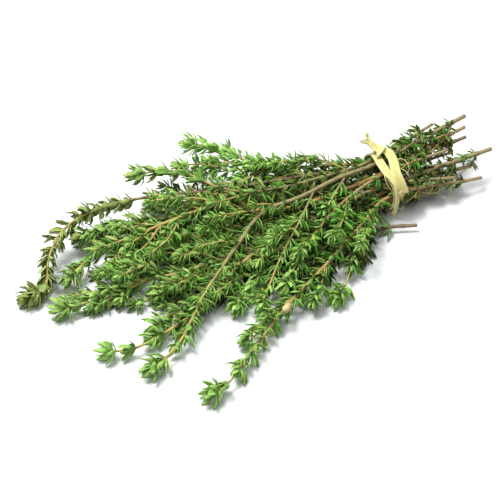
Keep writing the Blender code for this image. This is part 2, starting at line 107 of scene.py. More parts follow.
# Sprigs: name, cut end, where it crosses the tie (y, z), bends, tip, stem radius at the cut end, side
# shoots, how orange its bark is, how fresh a green its leaves are, how far past the tie it is nearly bare,
# how much wider its last joints are spaced, how many short shoots it has and how much of its upper side
# shows between its leaves; lengths are in millimetres
Sprig = namedtuple("Sprig", "name cut tie bends tip radius shoots bark green bare gap bushy show")

SPRIGS = (
    Sprig("sprig_01", (43, 8, 20), (2.5, 18.2),
          ((-20, 0, 20.5), (-37, -1, 19), (-52, 1, 16), (-66, -6, 12), (-88, -20, 7), (-106, -34, 4.5)),
          (-121, -39, 4), 1.05,
          (((-32, 0, 19.5), (-44, -9, 15), (-56, -18, 10.5), (-64, -25, 7), (-73, -33, 4.5)),
           ((-15, 0, 20), (-24, -6, 18), (-31, -13, 14))), 0.36, 0.75, 40, 1.95, 0.35, 0.9),
    Sprig("sprig_02", (40, 2, 15), (6.5, 12.5),
          ((-19, 8, 17), (-57, 18, 18), (-85, 29, 17), (-104, 34, 15), (-119, 33, 12), (-129, 25, 8),
           (-135, 15, 5)),
          (-145, 15, 4), 0.85, (), 0.0, 0.0, 90, 1.0, 0.0, 0.85),
    Sprig("sprig_03", (41, 5, 17.5), (0, 14.5),
          ((-37, 0, 14), (-55, 6, 15), (-65, 13, 16), (-82, 15, 15), (-96, 17, 12), (-111, 20, 8)),
          (-128, 14, 5), 0.95,
          (((-88, 16, 14), (-96, 12, 11), (-106, 9, 8)),), 0.95, 0.6, 36, 1.0, 0.85, 0.88),
    Sprig("sprig_04", (24, 4, 16), (8, 15),
          ((-17, 12, 17), (-31, 18, 17), (-42, 25, 18), (-47, 32, 19), (-53, 40, 20)),
          (-62, 47, 20), 0.8,
          (((-36, 21, 17.5), (-53, 28, 17), (-67, 33, 16)),), 0.85, 0.9, 2, 1.1, 0.7, 0.5),
    Sprig("sprig_05", (29, 10, 20), (6.5, 18),
          ((-25, 6, 18.5), (-50, 9, 19.5), (-62, 17, 20), (-67, 29, 19), (-74, 38, 18)),
          (-87, 43, 17), 0.75, (), 0.3, 0.45, 2, 1.1, 0.4, 0.4),
    Sprig("sprig_06", (36, -8, 9), (-2, 8.5),
          ((-27, -6, 10), (-58, -7, 9), (-82, -6, 8), (-101, -1, 6), (-115, 3, 5), (-126, 1, 4.5)),
          (-137, 4, 4), 0.9, (((-104, 0, 6), (-110, -1, 5), (-116, -4, 4)),), 0.7, 0.55, 2, 1.0, 0.9, 0.45),
    Sprig("sprig_07", (46, -7, 13), (-4.5, 12),
          ((-18, -6, 12.5), (-42, -9, 11.5), (-67, -12, 9), (-82, -17, 7), (-97, -22, 5), (-113, -26, 4.5),
           (-122, -26, 4)),
          (-131, -22, 4), 1.05, (), 0.6, 0.7, 2, 1.95, 0.5, 0.4),
    Sprig("sprig_08", (38, -13, 6), (-8.5, 10),
          ((-20, -17, 10), (-36, -25, 9), (-52, -32, 7.5), (-64, -37, 6), (-78, -45, 5), (-90, -52, 4.5),
           (-98, -57, 4)),
          (-108, -59, 4), 0.85,
          (((-56, -34, 7), (-70, -38.5, 6), (-86, -43, 4)),
           ((-42, -28, 8.5), (-48, -35, 7), (-56, -41, 5))), 0.8, 0.7, 2, 2.0, 0.35, 0.35),
    Sprig("sprig_09", (21, -10, 4), (-9, 6.5),
          ((-16, -15, 7.5), (-26, -23, 7), (-32, -30, 5.5), (-38, -36, 4)),
          (-46, -41, 4), 0.7, (), 0.6, 0.75, 2, 2.4, 0.3, 0.3),
    Sprig("sprig_10", (18, 7, 8), (4, 9), ((-41, 8, 13), (-71, 15, 12.5), (-92, 24, 12), (-104, 28, 10)),
          (-116, 30, 8), 0.75, (), 0.5, 0.5, 2, 1.0, 0.9, 0.4),
    Sprig("sprig_11", (22, -1, 6), (-1, 5.5), ((-50, 0, 10), (-77, 4, 9), (-96, 8, 8)),
          (-112, 11, 5), 0.7, (), 0.6, 0.7, 2, 1.0, 0.9, 0.3),
    Sprig("sprig_12", (16, -5, 4.5), (-4.5, 3.8), ((-41, -8, 6.5), (-70, -8, 6), (-90, -7, 5)),
          (-103, -7, 4), 0.7, (), 0.5, 0.6, 2, 1.0, 0.75, 0.3),
    Sprig("sprig_13", (19, -11, 7.5), (-6.5, 6.8), ((-38, -12, 8), (-60, -16, 7), (-72, -22, 5)),
          (-80, -28, 4), 0.7, (), 0.55, 0.8, 2, 1.1, 0.3, 0.3),
    Sprig("sprig_14", (26, -12, 10), (-5.5, 9.2),
          ((-46, -12, 9.5), (-72, -14, 7.5), (-89, -19, 6), (-101, -21, 5)),
          (-111, -21, 4), 0.7, (), 0.65, 0.65, 2, 1.1, 0.65, 0.4),
    Sprig("sprig_15", (20, 13, 9), (8.8, 8), ((-15, 15, 8), (-30, 22, 7)),
          (-48, 28, 5), 0.65, (), 0.4, 0.4, 2, 1.0, 0.8, 0.0),
    Sprig("sprig_16", (15, 10, 5), (5, 5.5), ((-41, 13, 9), (-64, 25, 8)),
          (-82, 36, 7), 0.7, (), 0.35, 0.4, 2, 1.0, 0.75, 0.2),
    Sprig("sprig_17", (14, -9, 3), (-7.3, 3.6), ((-25, -15, 6.5), (-43, -20, 6)),
          (-59, -27, 4), 0.65, (), 0.5, 0.7, 2, 1.1, 0.3, 0.2),
    Sprig("sprig_18", (28, -3, 17), (-2.8, 17), ((-22, -8, 16.5), (-38, -15, 14), (-50, -22, 10)),
          (-62, -30, 7), 0.7, (), 0.7, 0.85, 14, 1.1, 0.25, 0.6),
    Sprig("sprig_19", (17, 2, 3), (1, 3.2), ((-40, 4, 5), (-75, 13, 5)),
          (-98, 21, 4), 0.7, (), 0.5, 0.6, 2, 1.0, 0.9, 0.2),
    Sprig("sprig_20", (31, 1, 11), (2.2, 11.2), ((-30, 4, 9.5), (-62, 12, 8.5), (-88, 18, 6.5)),
          (-106, 20, 5), 0.7, (), 0.45, 0.55, 4, 1.0, 0.75, 0.4),
    Sprig("sprig_21", (3, -21, 3), None, ((-8, -16.5, 3), (-20, -17, 3.5), (-32, -20, 4), (-46, -23, 4)),
          (-58, -22, 4), 0.85, (), 0.05, 0.6, 2, 1.1, 0.4, 0.1),
)

# A cut side stub that stands on one of the sprigs: its route is in millimetres
STUB_SPRIG = "sprig_08"
STUB_ROUTE = ((-62.6, -36.9, 6), (-64.6, -39, 8), (-66.4, -41.2, 10))
STUB_RADIUS = 1.9 * MM
STUB_NARROWS_TO = 0.8
STUB_AGE = 0.4
CALLUS_TINT = 1.6

# Stems: shares of the radius that is given at the cut end, sizes and ages from 0 for old to 1 for young
STEM_TAPER_AT = (0.0, 0.2, 0.6, 1.0)
STEM_TAPER = (0.8, 0.78, 0.7)
TIP_SHARE = 0.42
SHOOT_SHARE = 0.5
TIP_STEM_GOES_ON = 2.2 * MM
SECTION_ROUNDNESS = 3.2
JOINT_REACH = 0.9 * MM
STEM_UNEVENNESS = 0.09
CUT_FACE_WITHIN = 0.3 * MM
STEM_AGES = (0.0, 1.0)
SHOOT_STEM_AGES = (0.55, 1.0)
TWIG_RADIUS = 0.42 * MM
TWIG_TIP_RADIUS = 0.3 * MM
TWIG_SIDES = 6
WELD_WITHIN = 0.002 * MM

# Leaf outlines as (place along the leaf, half width) pairs; small leaves have fewer rings and corners
LEAF_RINGS = ((0.0, 0.2), (0.14, 0.46), (0.36, 0.94), (0.6, 1.0), (0.86, 0.5))
LEAF_CORNERS = 8
SMALL_LEAF_RINGS = ((0.0, 0.22), (0.22, 0.68), (0.54, 1.06), (0.85, 0.52))
SMALL_LEAF_CORNERS = 6
SMALL_LEAF_BELOW = 0.95

# A leaf's section in half widths: how far its margins are rolled under, how it swells beside the midrib, its
# thickness and the groove over the midrib; then the stalk, up to a share of the leaf's length
MARGIN_ROLL = 0.34
BLADE_SWELL = 0.6
BLADE_THICKNESS = 0.17
MIDRIB_GROOVE = 0.12
STALK_UP_TO = 0.3
STALK_THICKNESS = 0.8

# How one leaf differs from the next: its bend and roll are in radians, the rest is in shares
LEAF_BEND = 0.18
BEND_VARIES = 0.26
LEAST_BEND = 0.02
ROLL_VARIES = 0.22
WIDTH_VARIES = (0.86, 1.14)
NARROWEST = 0.32
WIDENS_WITH_SIZE = 0.68
AROUND_VARIES = 0.25
CROSSING_VARIES = 0.2
LEAF_FLOOR = 0.05 * MM
LIFT_STEP = math.radians(6)
LIFT_STEPS = 16

# Joints: a pair of leaves at this lean in degrees, flatter against the stem under the tie, and a tuft of
# smaller ones that grow from a little above the pair
PAIR_LEAN = 58
PAIR_LEAN_VARIES = 12
PAIR_SIZES = (0.88, 1.1)
TIE_PRESSES_WITHIN = 2 * MM
PRESSED_LEAN = 0.45
TUFT_LEANS = (16, 68)
TUFT_SIZES = (0.5, 0.92)
TUFT_SPREAD = 1.05
TUFT_ABOVE = 1.6
TUFT_OUT = (0.1, 0.8)
TUFT_YOUNGER = 0.14
TUFT_LEAVES = 5
CUT_END_TUFT = 6
EXTRA_TUFT = 3

# What a joint or rosette that is cupped like a claw adds to its leaves' lean, bend and width
CUPPED_LEAN = 4
CUPPED_TUFT_LEAN = -12
CUPPED_PAIR_BEND = -0.55
CUPPED_TUFT_BEND = -0.4
CUPPED_WIDTH = 0.12
TIP_CUPPED_WITHIN = 24 * MM
SHOOT_CUPPED = 0.5

# Sprigs with less green than this have broader, denser leaves, as the arched one has
BROWNED_BELOW = 0.35
BROWNED_WIDTH = 1.6
DENSE_BELOW = 0.2

# Whorls of a tip's rosette: leaves, lean in degrees, size, and place behind the tip in millimetres
TIP_WHORLS = ((5, 82, 0.74, 3.4), (5, 70, 0.82, 2.6), (5, 56, 0.84, 1.7), (4, 38, 0.74, 0.9),
              (3, 16, 0.58, 0.2))
WHORL_LEAN_VARIES = 6
WHORL_SIZES = (0.88, 1.08)
OPEN_WHORL = (0.8, 0.1, 0.92)
CLAW_WHORL = (1.0, -0.6, 1.14)
ROSETTE_BEHIND_END = 0.2 * MM
MAIN_ROSETTE_SIZE = 1.2
YOUNG = 1.0

# Which leaves are left out, so that stems show: those deep in the bundle, those over the stems on top and
# some on the upper side of each stem
TOP_STEM_SHOWS = 0.85
TOP_STEM_FROM = -6 * MM
OPEN_BESIDE_STEM = 1.5 * MM
OVER_STEM_FROM = -0.5 * MM
# Painted shade: a leaf that lies below the stems round about has its age, and so its colour, lowered by up
# to this share, fully at this depth
PAINTED_DEPTH_SHADE = 1.2
PAINTED_SHADE_FULL_DEPTH = 6.0 * MM
DEPTH_LOOKS_ROUND = 5 * MM
HIDDEN_DEPTH = 9.5 * MM
HIDDEN_LEFT_OUT = 0.45
UPPER_SIDE_FROM = 0.5
TIP_LEAF_AGE = 0.9
LEAFY_SHOWS = 0.6
BARE_UP_TO = 2 * MM
BARE_LEFT_OUT = 0.6
NEAR_TIE_WITHIN = 8 * MM

# Leaves of the cut ends and of the nearly bare stretch: their sizes, ages and greenness
CUT_END_FROM = 3 * MM
CUT_END_SIZES = (0.64, 0.92)
CUT_END_AGE = 0.3
CUT_END_AGE_VARIES = 0.26
CUT_END_GREEN = 0.6

# Leaves of the fan: full-grown from a distance past the tie, their ages at shares of the stem
SMALLEST_LEAF = 0.72
GROWN_OVER = 30 * MM
AGE_AT = (0.1, 0.3, 0.8, 1)
AGES = (0.25, 0.5, 0.68, 0.95)
SHOOT_LEAF_SIZE = 0.95
SHOOT_AGES = (0.5, 0.92)

# Where leaves grow along a stem
FIRST_JOINT = (5, 10)
FIRST_SHOOT_JOINT = 4 * MM
FIRST_TWIG_JOINT = 3 * MM
LAST_JOINT_BEFORE_TIP = 4.5 * MM
CLOSEST_JOINTS_FROM = 0.5
WIDE_GAPS_WITHIN = 19 * MM

# Short shoots in the axils, or twigs: lengths in millimetres, sizes and ages of the leaves, ages of the
# stem, and leaves in a tuft
Twigs = namedtuple("Twigs", "long sizes ages stem_ages tuft")
CUT_END_TWIGS = Twigs((7, 11), (0.6, 0.8), (0.14, 0.3), (0.3, 0.6), 2)
FAN_TWIGS = Twigs((9, 25), (0.74, 0.95), (0.5, 0.78), (0.75, 1.0), 5)
CUT_END_TWIG_SHARE = 0.7
TWIGS_CLEAR_OF_TIE = 9
TWIG_LEANS = (28, 46)
TWIG_LOWER_SHARE = 0.55
TWIG_FLOOR = 2.4 * MM
TWIG_CEILING = 21 * MM
TWIG_ABOVE_STEM = 4.0 * MM
TWIG_STEP = 1.2 * MM

# Up to which share of its stem a sprig has short shoots: a bushy one, one with wide gaps, and any other
BUSHY_FROM = 0.7
WIDE_GAPS_FROM = 1.2
BUSHY_TWIGS_UP_TO = 0.88
SPARSE_TWIGS_UP_TO = 0.52
TWIGS_UP_TO = 0.76

# The raffia's course round the stems: its angle from the top towards the front in degrees, its place
# along X and its width in millimetres
TURN_COURSE = ((-60, 0.3, 2.8), (-22, -0.5, 2.8), (0, -2.0, 2.9), (24, -2.2, 3.0), (60, -0.6, 2.6),
               (110, -1.2, 2.2), (180, -0.2, 3.0), (250, 0.3, 2.8))
TURN_STARTS = -24
TURN_POINTS = 121
TURN_WIDENED = 1.15
TURN_FLOOR = TURN_THICKNESS * 0.44

# Routes of the raffia's ends, its knot and its stray fibres, in millimetres. The back end is shorter than
# in the frame, since its fibres part there
TAIL_LONG = ((0.2, 4.8, 22.1), (2.2, 3.8, 22.7), (2.8, 1.2, 23.0), (2.4, -2.0, 22.9), (1.6, -4.8, 22.2),
             (0.7, -7.4, 21.0), (0.3, -9.6, 19.4), (0.5, -11.6, 17.0), (1.1, -13.1, 13.9))
TAIL_THIN = ((-2.2, -6.0, 20.2), (-1.4, -8.6, 18.9), (-1.0, -10.8, 17.4), (-1.3, -12.4, 15.0),
             (-1.7, -13.5, 12.2), (-2.3, -14.0, 9.2), (-3.1, -14.0, 6.6))
TAIL_BACK = ((0.6, 4.2, 22.3), (0.0, 5.6, 23.0), (-0.7, 6.7, 23.7), (-1.4, 7.7, 24.5))
KNOT_WRAP = ((-1.6, 2.4, 21.4), (-0.9, 2.2, 23.0), (0.8, 3.0, 23.6), (2.0, 4.6, 23.0), (1.8, 6.0, 21.4),
             (0.2, 6.4, 20.6))
STRAY_FIBRES = (
    ((3.4, -3.6, 22.8), (5.4, -4.4, 22.8), (6.6, -6.2, 21.8), (6.4, -8.2, 20.4), (5.2, -9.0, 19.4)),
    ((3.2, -7.6, 21.2), (4.6, -9.2, 20.2), (5.2, -11.0, 18.2)),
    ((0.8, 5.0, 23.0), (-0.4, 7.2, 23.8), (-0.4, 9.0, 24.4)),
    ((-3.4, -6.0, 20.8), (-4.4, -8.4, 19.8), (-4.2, -10.6, 17.8), (-3.2, -12.2, 15.6)),
    ((-2.8, -13.6, 9.6), (-1.2, -14.6, 8.2), (0.4, -14.6, 7.4), (0.8, -13.8, 8.4)),
)

# Widths are shares of the strip's at the start, on the way and at the end; fibres counts them in shares of
# the usual number, spread is how far they part, reach their length in millimetres and coarse their width
RaffiaEnd = namedtuple("RaffiaEnd", "name route widths fibres spread reach coarse")

RAFFIA_ENDS = (
    RaffiaEnd("tail_long", TAIL_LONG, (0.9, 1.1, 1.45), 1.0, 0.9, 2.0, 1.0),
    RaffiaEnd("tail_thin", TAIL_THIN, (1.05, 0.85, 0.42), 0.8, 0.9, 2.0, 1.0),
    RaffiaEnd("tail_back", TAIL_BACK, (0.9, 1.1, 0.85), 5.0, 2.4, 4.2, 0.65),
    RaffiaEnd("knot_wrap", KNOT_WRAP, (0.7, 1.0, 0.7), 0.0, 0.9, 2.0, 1.0),
)
STRIP_WIDTH = 3.2 * MM
STRIP_WIDTHS_AT = (0, 0.35, 1)
STRIP_UNEVENNESS = 0.24
STRIP_TWIST = 0.5
END_THICKENED = 1.1
STRAND_STEP = 0.5 * MM

# Pleats: height, how often they come and how far they are shifted, for the folds and for finer ridges
PLEAT_WAVES = ((0.32, 1.0, 1.0), (0.14, 2.3, 1.7))
FIBRE_THICKNESS = 0.22 * MM
FIBRE_WIDTHS = (0.45, 0.8)
FIBRE_TIP_WIDTH = 0.16
FIBRE_LENGTHS = (0.45, 1.1)
FIBRE_OVERLAP = 1.6 * MM
FIBRE_SWING = 0.25
FIBRE_FLOOR = 0.3 * MM
FIBRES_ACROSS = 0.85
STRAY_WIDTH = 0.32
STRAY_THICKNESS = 0.2 * MM

# Lights: place and size in metres, and colour
LIT_POINT = (-0.05, 0.0, 0.0)
KEY_LIGHT = ((-0.25, 0.2, 0.75), 0.34, (1.0, 0.985, 0.96))
TOP_LIGHT = ((-0.05, 0.05, 0.9), 1.4, (0.97, 0.985, 1.0))
SKY_COLOUR = (0.94, 0.97, 1.0, 1.0)
FLOOR_COLOUR = (0.72, 0.73, 0.74)
FLOOR_SIZE = 6
SENSOR_WIDTH = 36
SEES_UP_TO = 20


# Settings

def colour_property(name, description, default):
    return FloatVectorProperty(name=name, description=description, default=default, min=0, max=1, size=3,
                               subtype="COLOR")


def length_property(name, description, default, low, high):
    """A length whose default and limits are given in millimetres."""
    return FloatProperty(name=name, description=description, default=default * MM, min=low * MM,
                         max=high * MM, unit="LENGTH")


class StemSettings(PropertyGroup):
    """Sizes and colours of the stems"""

    ring_step: length_property("Ring spacing", "Distance between the rings of a stem", 1.3, 0.4, 5)
    sides: IntProperty(name="Sides", description="Corners round a stem", default=10, min=6, max=24)
    node_swell: FloatProperty(
        name="Joint swelling", description="How much thicker a stem is where leaves grow", default=0.28,
        min=0.0, max=1.0, subtype="FACTOR")
    weathered_bark: colour_property("Weathered bark", "Colour of the wood behind the tie",
                                    (0.27, 0.22, 0.13))
    dark_bark: colour_property("Dark bark", "Colour of dark reddish wood", (0.12, 0.06, 0.04))
    grey_bark: colour_property("Old bark", "Colour of grey-tan wood", (0.235, 0.205, 0.088))
    orange_bark: colour_property("Warm bark", "Colour of orange bark", (0.45, 0.265, 0.075))
    green_bark: colour_property("Young stem", "Colour of a stem near its tip", (0.42, 0.34, 0.095))
    cut_wood: colour_property("Cut wood", "Colour of a cut end", (0.60, 0.47, 0.23))


class LeafSettings(PropertyGroup):
    """Sizes and colours of the leaves"""

    length: length_property("Leaf length", "Length of a full-grown leaf", 6.6, 1, 20)
    width: length_property("Leaf width", "Width of a full-grown leaf", 1.95, 0.5, 10)
    woody_step: length_property("Spacing on wood", "Distance between leaf pairs on the oldest stem",
                                4.8, 2, 30)
    young_step: length_property("Spacing near tips", "Distance between leaf pairs near a tip", 4.1, 2, 30)
    # The dark end of the leaves' age: the colour of old leaves, and also painted shade on leaves deep in the
    # bundle
    old_and_shaded_green: colour_property("Old leaf", "Colour of leaves deep in the bundle", (0.006, 0.03, 0.0015))
    fresh_green: colour_property("Fresh leaf", "Colour of most leaves", (0.056, 0.26, 0.008))
    tip_green: colour_property("Tip leaf", "Colour of leaves at the tips", (0.25, 0.50, 0.08))
    underside: colour_property("Underside", "Colour of the pale lower face and margins", (0.42, 0.62, 0.2))
    olive: colour_property("Tired leaf", "Colour of leaves that have begun to brown", (0.16, 0.125, 0.022))


class RaffiaSettings(PropertyGroup):
    """Sizes and colours of the raffia"""

    thickness: length_property("Thickness", "Thickness of the folded strip", 1.0, 0.2, 4)
    pleats: IntProperty(
        name="Pleats", description="Lengthwise folds across the strip", default=4, min=1, max=12)
    frayed_fibres: IntProperty(
        name="Frayed fibres", description="Loose fibres at each end", default=9, min=0, max=60)
    straw: colour_property("Straw", "Colour of the strip", (0.54, 0.46, 0.14))
    pale_straw: colour_property("Pale straw", "Colour of its raised fibres", (0.67, 0.63, 0.28))


class StageSettings(PropertyGroup):
    """Camera, lights and floor"""

    azimuth: FloatProperty(
        name="Azimuth", description="Side that the camera looks from", default=math.radians(-29),
        subtype="ANGLE")
    elevation: FloatProperty(
        name="Elevation", description="Height angle of the camera", default=math.radians(44),
        subtype="ANGLE")
    distance: FloatProperty(
        name="Distance", description="From the camera to the middle of the bundle", default=0.6,
        min=0.1, max=5, unit="LENGTH")
    lens: FloatProperty(
        name="Lens", description="Focal length in millimetres", default=116.64, min=10, max=300)
    target: FloatVectorProperty(
        name="Target", description="Point that the camera looks at", default=(-0.0617, -0.0066, 0.008),
        size=3, subtype="XYZ", unit="LENGTH")
    key_power: FloatProperty(
        name="Key light", description="Power of the large light above", default=8.2, min=0, max=500)
    top_power: FloatProperty(
        name="Top light", description="Power of the broad light overhead", default=8.6, min=0, max=500)
    sky: FloatProperty(
        name="Sky light", description="Strength of the even light from all round", default=0.17,
        min=0, max=10)


# Shader maths

class Value:
    """A node's output socket. Arithmetic on it adds Math nodes."""

    def __init__(self, shader, socket):
        self.shader = shader
        self.socket = socket

    def _math(self, operation, *values, clamp=False):
        return self.shader.node("ShaderNodeMath", {"operation": operation, "use_clamp": clamp}, values)

    def __add__(self, other):
        return self._math("ADD", self, other)

    def __radd__(self, other):
        return self._math("ADD", other, self)

    def __sub__(self, other):
        return self._math("SUBTRACT", self, other)

    def __rsub__(self, other):
        return self._math("SUBTRACT", other, self)

    def __mul__(self, other):
        return self._math("MULTIPLY", self, other)

    def __rmul__(self, other):
        return self._math("MULTIPLY", other, self)

    def clamped(self):
        return self._math("ADD", self, 0.0, clamp=True)


class Shader:
    """A material under construction, with its Principled shader."""

    def __init__(self, name):
        self.material = bpy.data.materials.new(name)
        self.material.use_nodes = True
        self.tree = self.material.node_tree
        self.principled = self.tree.nodes["Principled BSDF"]

    def node(self, kind, settings, inputs, output=0):
        """Adds a node, sets its settings, then its inputs by order or by name, and gives its output."""
        made = self.tree.nodes.new(kind)
        for key, value in settings.items():
            setattr(made, key, value)
        pairs = inputs.items() if isinstance(inputs, dict) else enumerate(inputs)
        for key, value in pairs:
            self.connect(made.inputs[key], value)
        return Value(self, made.outputs[output])

    def connect(self, socket, value):
        if isinstance(value, Value):
            self.tree.links.new(value.socket, socket)
        elif socket.type == "RGBA":
            socket.default_value = (*value, 1.0)
        else:
            socket.default_value = value

    def attribute(self, name, output="Fac"):
        return self.node("ShaderNodeAttribute", {"attribute_name": name}, (), output)

    def noise(self, vector, scale, detail, roughness=0.55):
        return self.node("ShaderNodeTexNoise", {},
                         {"Vector": vector, "Scale": scale, "Detail": detail, "Roughness": roughness})

    def stretched(self, vector, factors):
        return self.node("ShaderNodeVectorMath", {"operation": "MULTIPLY"}, (vector, factors))

    def band(self, value, low, high):
        """0 below low, 1 above high and a smooth rise between."""
        return self.node("ShaderNodeMapRange", {"interpolation_type": "SMOOTHSTEP"},
                         {"Value": value, "From Min": low, "From Max": high})

    def mix(self, factor, first, second, blend="MIX"):
        return self.node("ShaderNodeMix", {"data_type": "RGBA", "blend_type": blend, "clamp_factor": True},
                         {0: factor, 6: first, 7: second}, 2)

    def lit(self, shade, light):
        """A colour times a brightness."""
        grey = self.node("ShaderNodeCombineColor", {}, (light, light, light))
        return self.mix(1.0, shade, grey, "MULTIPLY")

    def bump(self, height, strength, distance):
        values = {"Height": height, "Strength": strength, "Distance": distance}
        made = self.node("ShaderNodeBump", {}, values)
        self.connect(self.principled.inputs["Normal"], made)

    def feed(self, **sockets):
        for name, value in sockets.items():
            self.connect(self.principled.inputs[name.replace("_", " ")], value)


def leaf_material(settings):
    """Waxy thyme leaf: fresh green, paler along the midrib and below, with fine oil glands and painted shade
    deep in the bundle.
    """
    shader = Shader("thyme_leaf")
    age, tint, green, rib, under = map(shader.attribute, ("age", "tint", "green", "rib", "under"))
    grain = shader.attribute("grain", "Vector")
    mottle = shader.noise(grain, 0.9, 2.0)
    glands = shader.noise(grain, 6.0, 1.0)
    # Age runs from the old and shaded dark green to fresh green; on leaves deep in the bundle it was lowered
    # as painted shade, and the coat follows it too
    shade = shader.mix(shader.band(age + mottle * 0.2 - 0.1, 0.0, 0.62), settings.old_and_shaded_green,
                       settings.fresh_green)
    shade = shader.mix(shader.band(age + tint * 0.25, 0.62, 1.05), shade, settings.tip_green)
    browned = (1 - green) * 0.62 + shader.band(green, 0.3, 0.0) * 0.25
    tired = shader.band(tint * 0.75 + browned + mottle * 0.25, 0.78, 1.1)
    shade = shader.mix(tired * 0.8, shade, settings.olive)
    pale = shader.mix(0.6, shade, settings.underside)
    shade = shader.mix(shader.band(rib, 0.4, 0.0) * 0.3, shade, pale)
    shade = shader.mix((under * 0.55 + shader.band(rib, 0.66, 1.0) * 0.75).clamped(), shade, pale)
    shade = shader.lit(shade, 0.72 + tint * 0.5 + (glands - 0.5) * 0.35)
    shader.feed(Base_Color=shade, Roughness=0.2 + mottle * 0.2 + under * 0.3, Specular_IOR_Level=0.12,
                Coat_Weight=shader.band(age, 0.25, 0.8) * 0.6, Coat_Roughness=0.2)
    shader.bump(glands * 0.6 + (1 - shader.band(rib, 0.0, 0.14)) * -0.8, 0.5, 0.08 * MM)
    return shader.material


def bark_material(settings):
    """Stem: streaked fibrous bark on old wood, smooth and green near the tips, dark at each joint."""
    shader = Shader("thyme_bark")
    age, tint, joint = map(shader.attribute, ("age", "tint", "joint"))
    grain = shader.attribute("grain", "Vector")
    streaks = shader.noise(shader.stretched(grain, (3.2, 3.2, 0.28)), 1.0, 4.0, 0.65)
    blotches = shader.noise(shader.stretched(grain, (0.5, 0.5, 0.16)), 1.0, 2.0)
    wood = shader.mix(shader.band(tint, 0.0, 0.35), settings.dark_bark, settings.grey_bark)
    wood = shader.mix(shader.band(tint, 0.35, 1.0), wood, settings.orange_bark)
    wood = shader.mix(shader.band(blotches, 0.48, 0.72) * 0.35, wood, settings.grey_bark)
    wood = shader.mix(shader.band(tint, 1.2, CALLUS_TINT), wood, settings.cut_wood)
    wood = shader.mix(shader.band(age, 0.26, 0.08) * 0.6, wood, settings.weathered_bark)
    shade = shader.mix(shader.band(age + blotches * 0.3 - 0.15, 0.5, 0.95), wood, settings.green_bark)
    shade = shader.lit(shade, 0.1 + streaks + blotches * 0.8)
    leaf_scar = (0.11, 0.06, 0.025)
    shade = shader.mix(joint * 0.45, shade, leaf_scar)
    shader.feed(Base_Color=shade, Roughness=0.5 + streaks * 0.3)
    shader.bump(streaks + joint * 0.4, 0.7, 0.16 * MM)
    return shader.material


def cut_material(settings):
    """The face of a cut stem: pale wood round a darker pith, with a brown rim and rays."""
    pith, rim, ray = (0.36, 0.27, 0.12), (0.22, 0.14, 0.06), (0.3, 0.2, 0.1)
    shader = Shader("cut_wood")
    grain = shader.attribute("grain", "Vector")
    across = shader.stretched(grain, (1.0, 1.0, 0.0))
    reach = shader.node("ShaderNodeVectorMath", {"operation": "LENGTH"}, (across,), "Value")
    rays = shader.noise(grain, 5.0, 3.0)
    shade = shader.mix(shader.band(reach, 0.28, 0.12), settings.cut_wood, pith)
    shade = shader.mix(shader.band(reach, 0.72, 0.95) * 0.6, shade, rim)
    shade = shader.mix(rays * 0.4, shade, ray)
    shader.feed(Base_Color=shade, Roughness=0.7)
    shader.bump(rays, 0.5, 0.1 * MM)
    return shader.material


def raffia_material(settings):
    """Dry raffia: pale straw fibres along the strip, deeper yellow in its folds."""
    patch, dark_fibre = (0.72, 0.6, 0.22), (0.5, 0.36, 0.12)
    shader = Shader("raffia")
    grain = shader.attribute("grain", "Vector")
    fold = shader.attribute("fold")
    fibres = shader.noise(shader.stretched(grain, (5.5, 5.5, 0.22)), 1.0, 4.0, 0.6)
    patches = shader.noise(shader.stretched(grain, (0.6, 0.6, 0.2)), 1.0, 2.0)
    paler = shader.band(fibres * 0.7 + fold * 0.5, 0.3, 0.85)
    shade = shader.mix(paler, settings.straw, settings.pale_straw)
    shade = shader.mix(shader.band(patches, 0.58, 0.8) * 0.35, shade, patch)
    shade = shader.mix(shader.band(fibres, 0.42, 0.2) * 0.45, shade, dark_fibre)
    shader.feed(Base_Color=shade, Roughness=0.42 + fibres * 0.3, Sheen_Weight=0.25)
    shader.bump(fibres, 0.8, 0.14 * MM)
    return shader.material


# Lines and the routes of the stems, settled as in the frame

def distances(line):
    """How far along a line each of its points is."""
    return np.concatenate([[0], np.cumsum(np.linalg.norm(np.diff(line, axis=0), axis=1))])


def places_on(line, along):
    """The points of a line at distances from its start."""
    steps = distances(line)
    return np.stack([np.interp(along, steps, line[:, k]) for k in range(3)], axis=-1)


def resample(line, step):
    """Points a step apart along a line."""
    total = distances(line)[-1]
    count = max(3, round(total / step) + 1)
    return places_on(line, np.linspace(0, total, count))


def smooth_route(points, step):
    """Points a step apart along the smooth curve through the given ones."""
    knots = np.array(points, float)
    ends = np.vstack([2 * knots[0] - knots[1], knots, 2 * knots[-1] - knots[-2]])
    fine = []
    for p0, p1, p2, p3 in zip(ends[:-3], ends[1:-2], ends[2:-1], ends[3:]):
        for t in np.linspace(0, 1, 12, endpoint=False):
            fine.append(0.5 * (2 * p1 + (p2 - p0) * t + (2 * p0 - 5 * p1 + 4 * p2 - p3) * t * t
                               + (3 * p1 - 3 * p2 + p3 - p0) * t ** 3))
    fine.append(knots[-1])
    return resample(np.array(fine), step)


def short_of_tip(line):
    """The route without its last few millimetres, which the leaves at the tip fill."""
    along = distances(line)
    end = along[-1] - TIP_LEAF_REACH
    return resample(np.vstack([line[along < end], places_on(line, end)]), ROUTE_STEP)


def sprig_routes():
    """The route of each stem and each shoot, with the number of the sprig that it belongs to."""
    routes, owners, mains = [], [], []
    for number, sprig in enumerate(SPRIGS):
        crossing = [] if sprig.tie is None else [(0, *sprig.tie)]
        stem = [sprig.cut, *crossing, *sprig.bends, sprig.tip]
        main = len(routes)
        for points in (stem, *sprig.shoots):
            routes.append(short_of_tip(smooth_route(np.array(points) * MM, ROUTE_STEP)))
            owners.append(number)
            mains.append(main)
    return routes, owners, mains


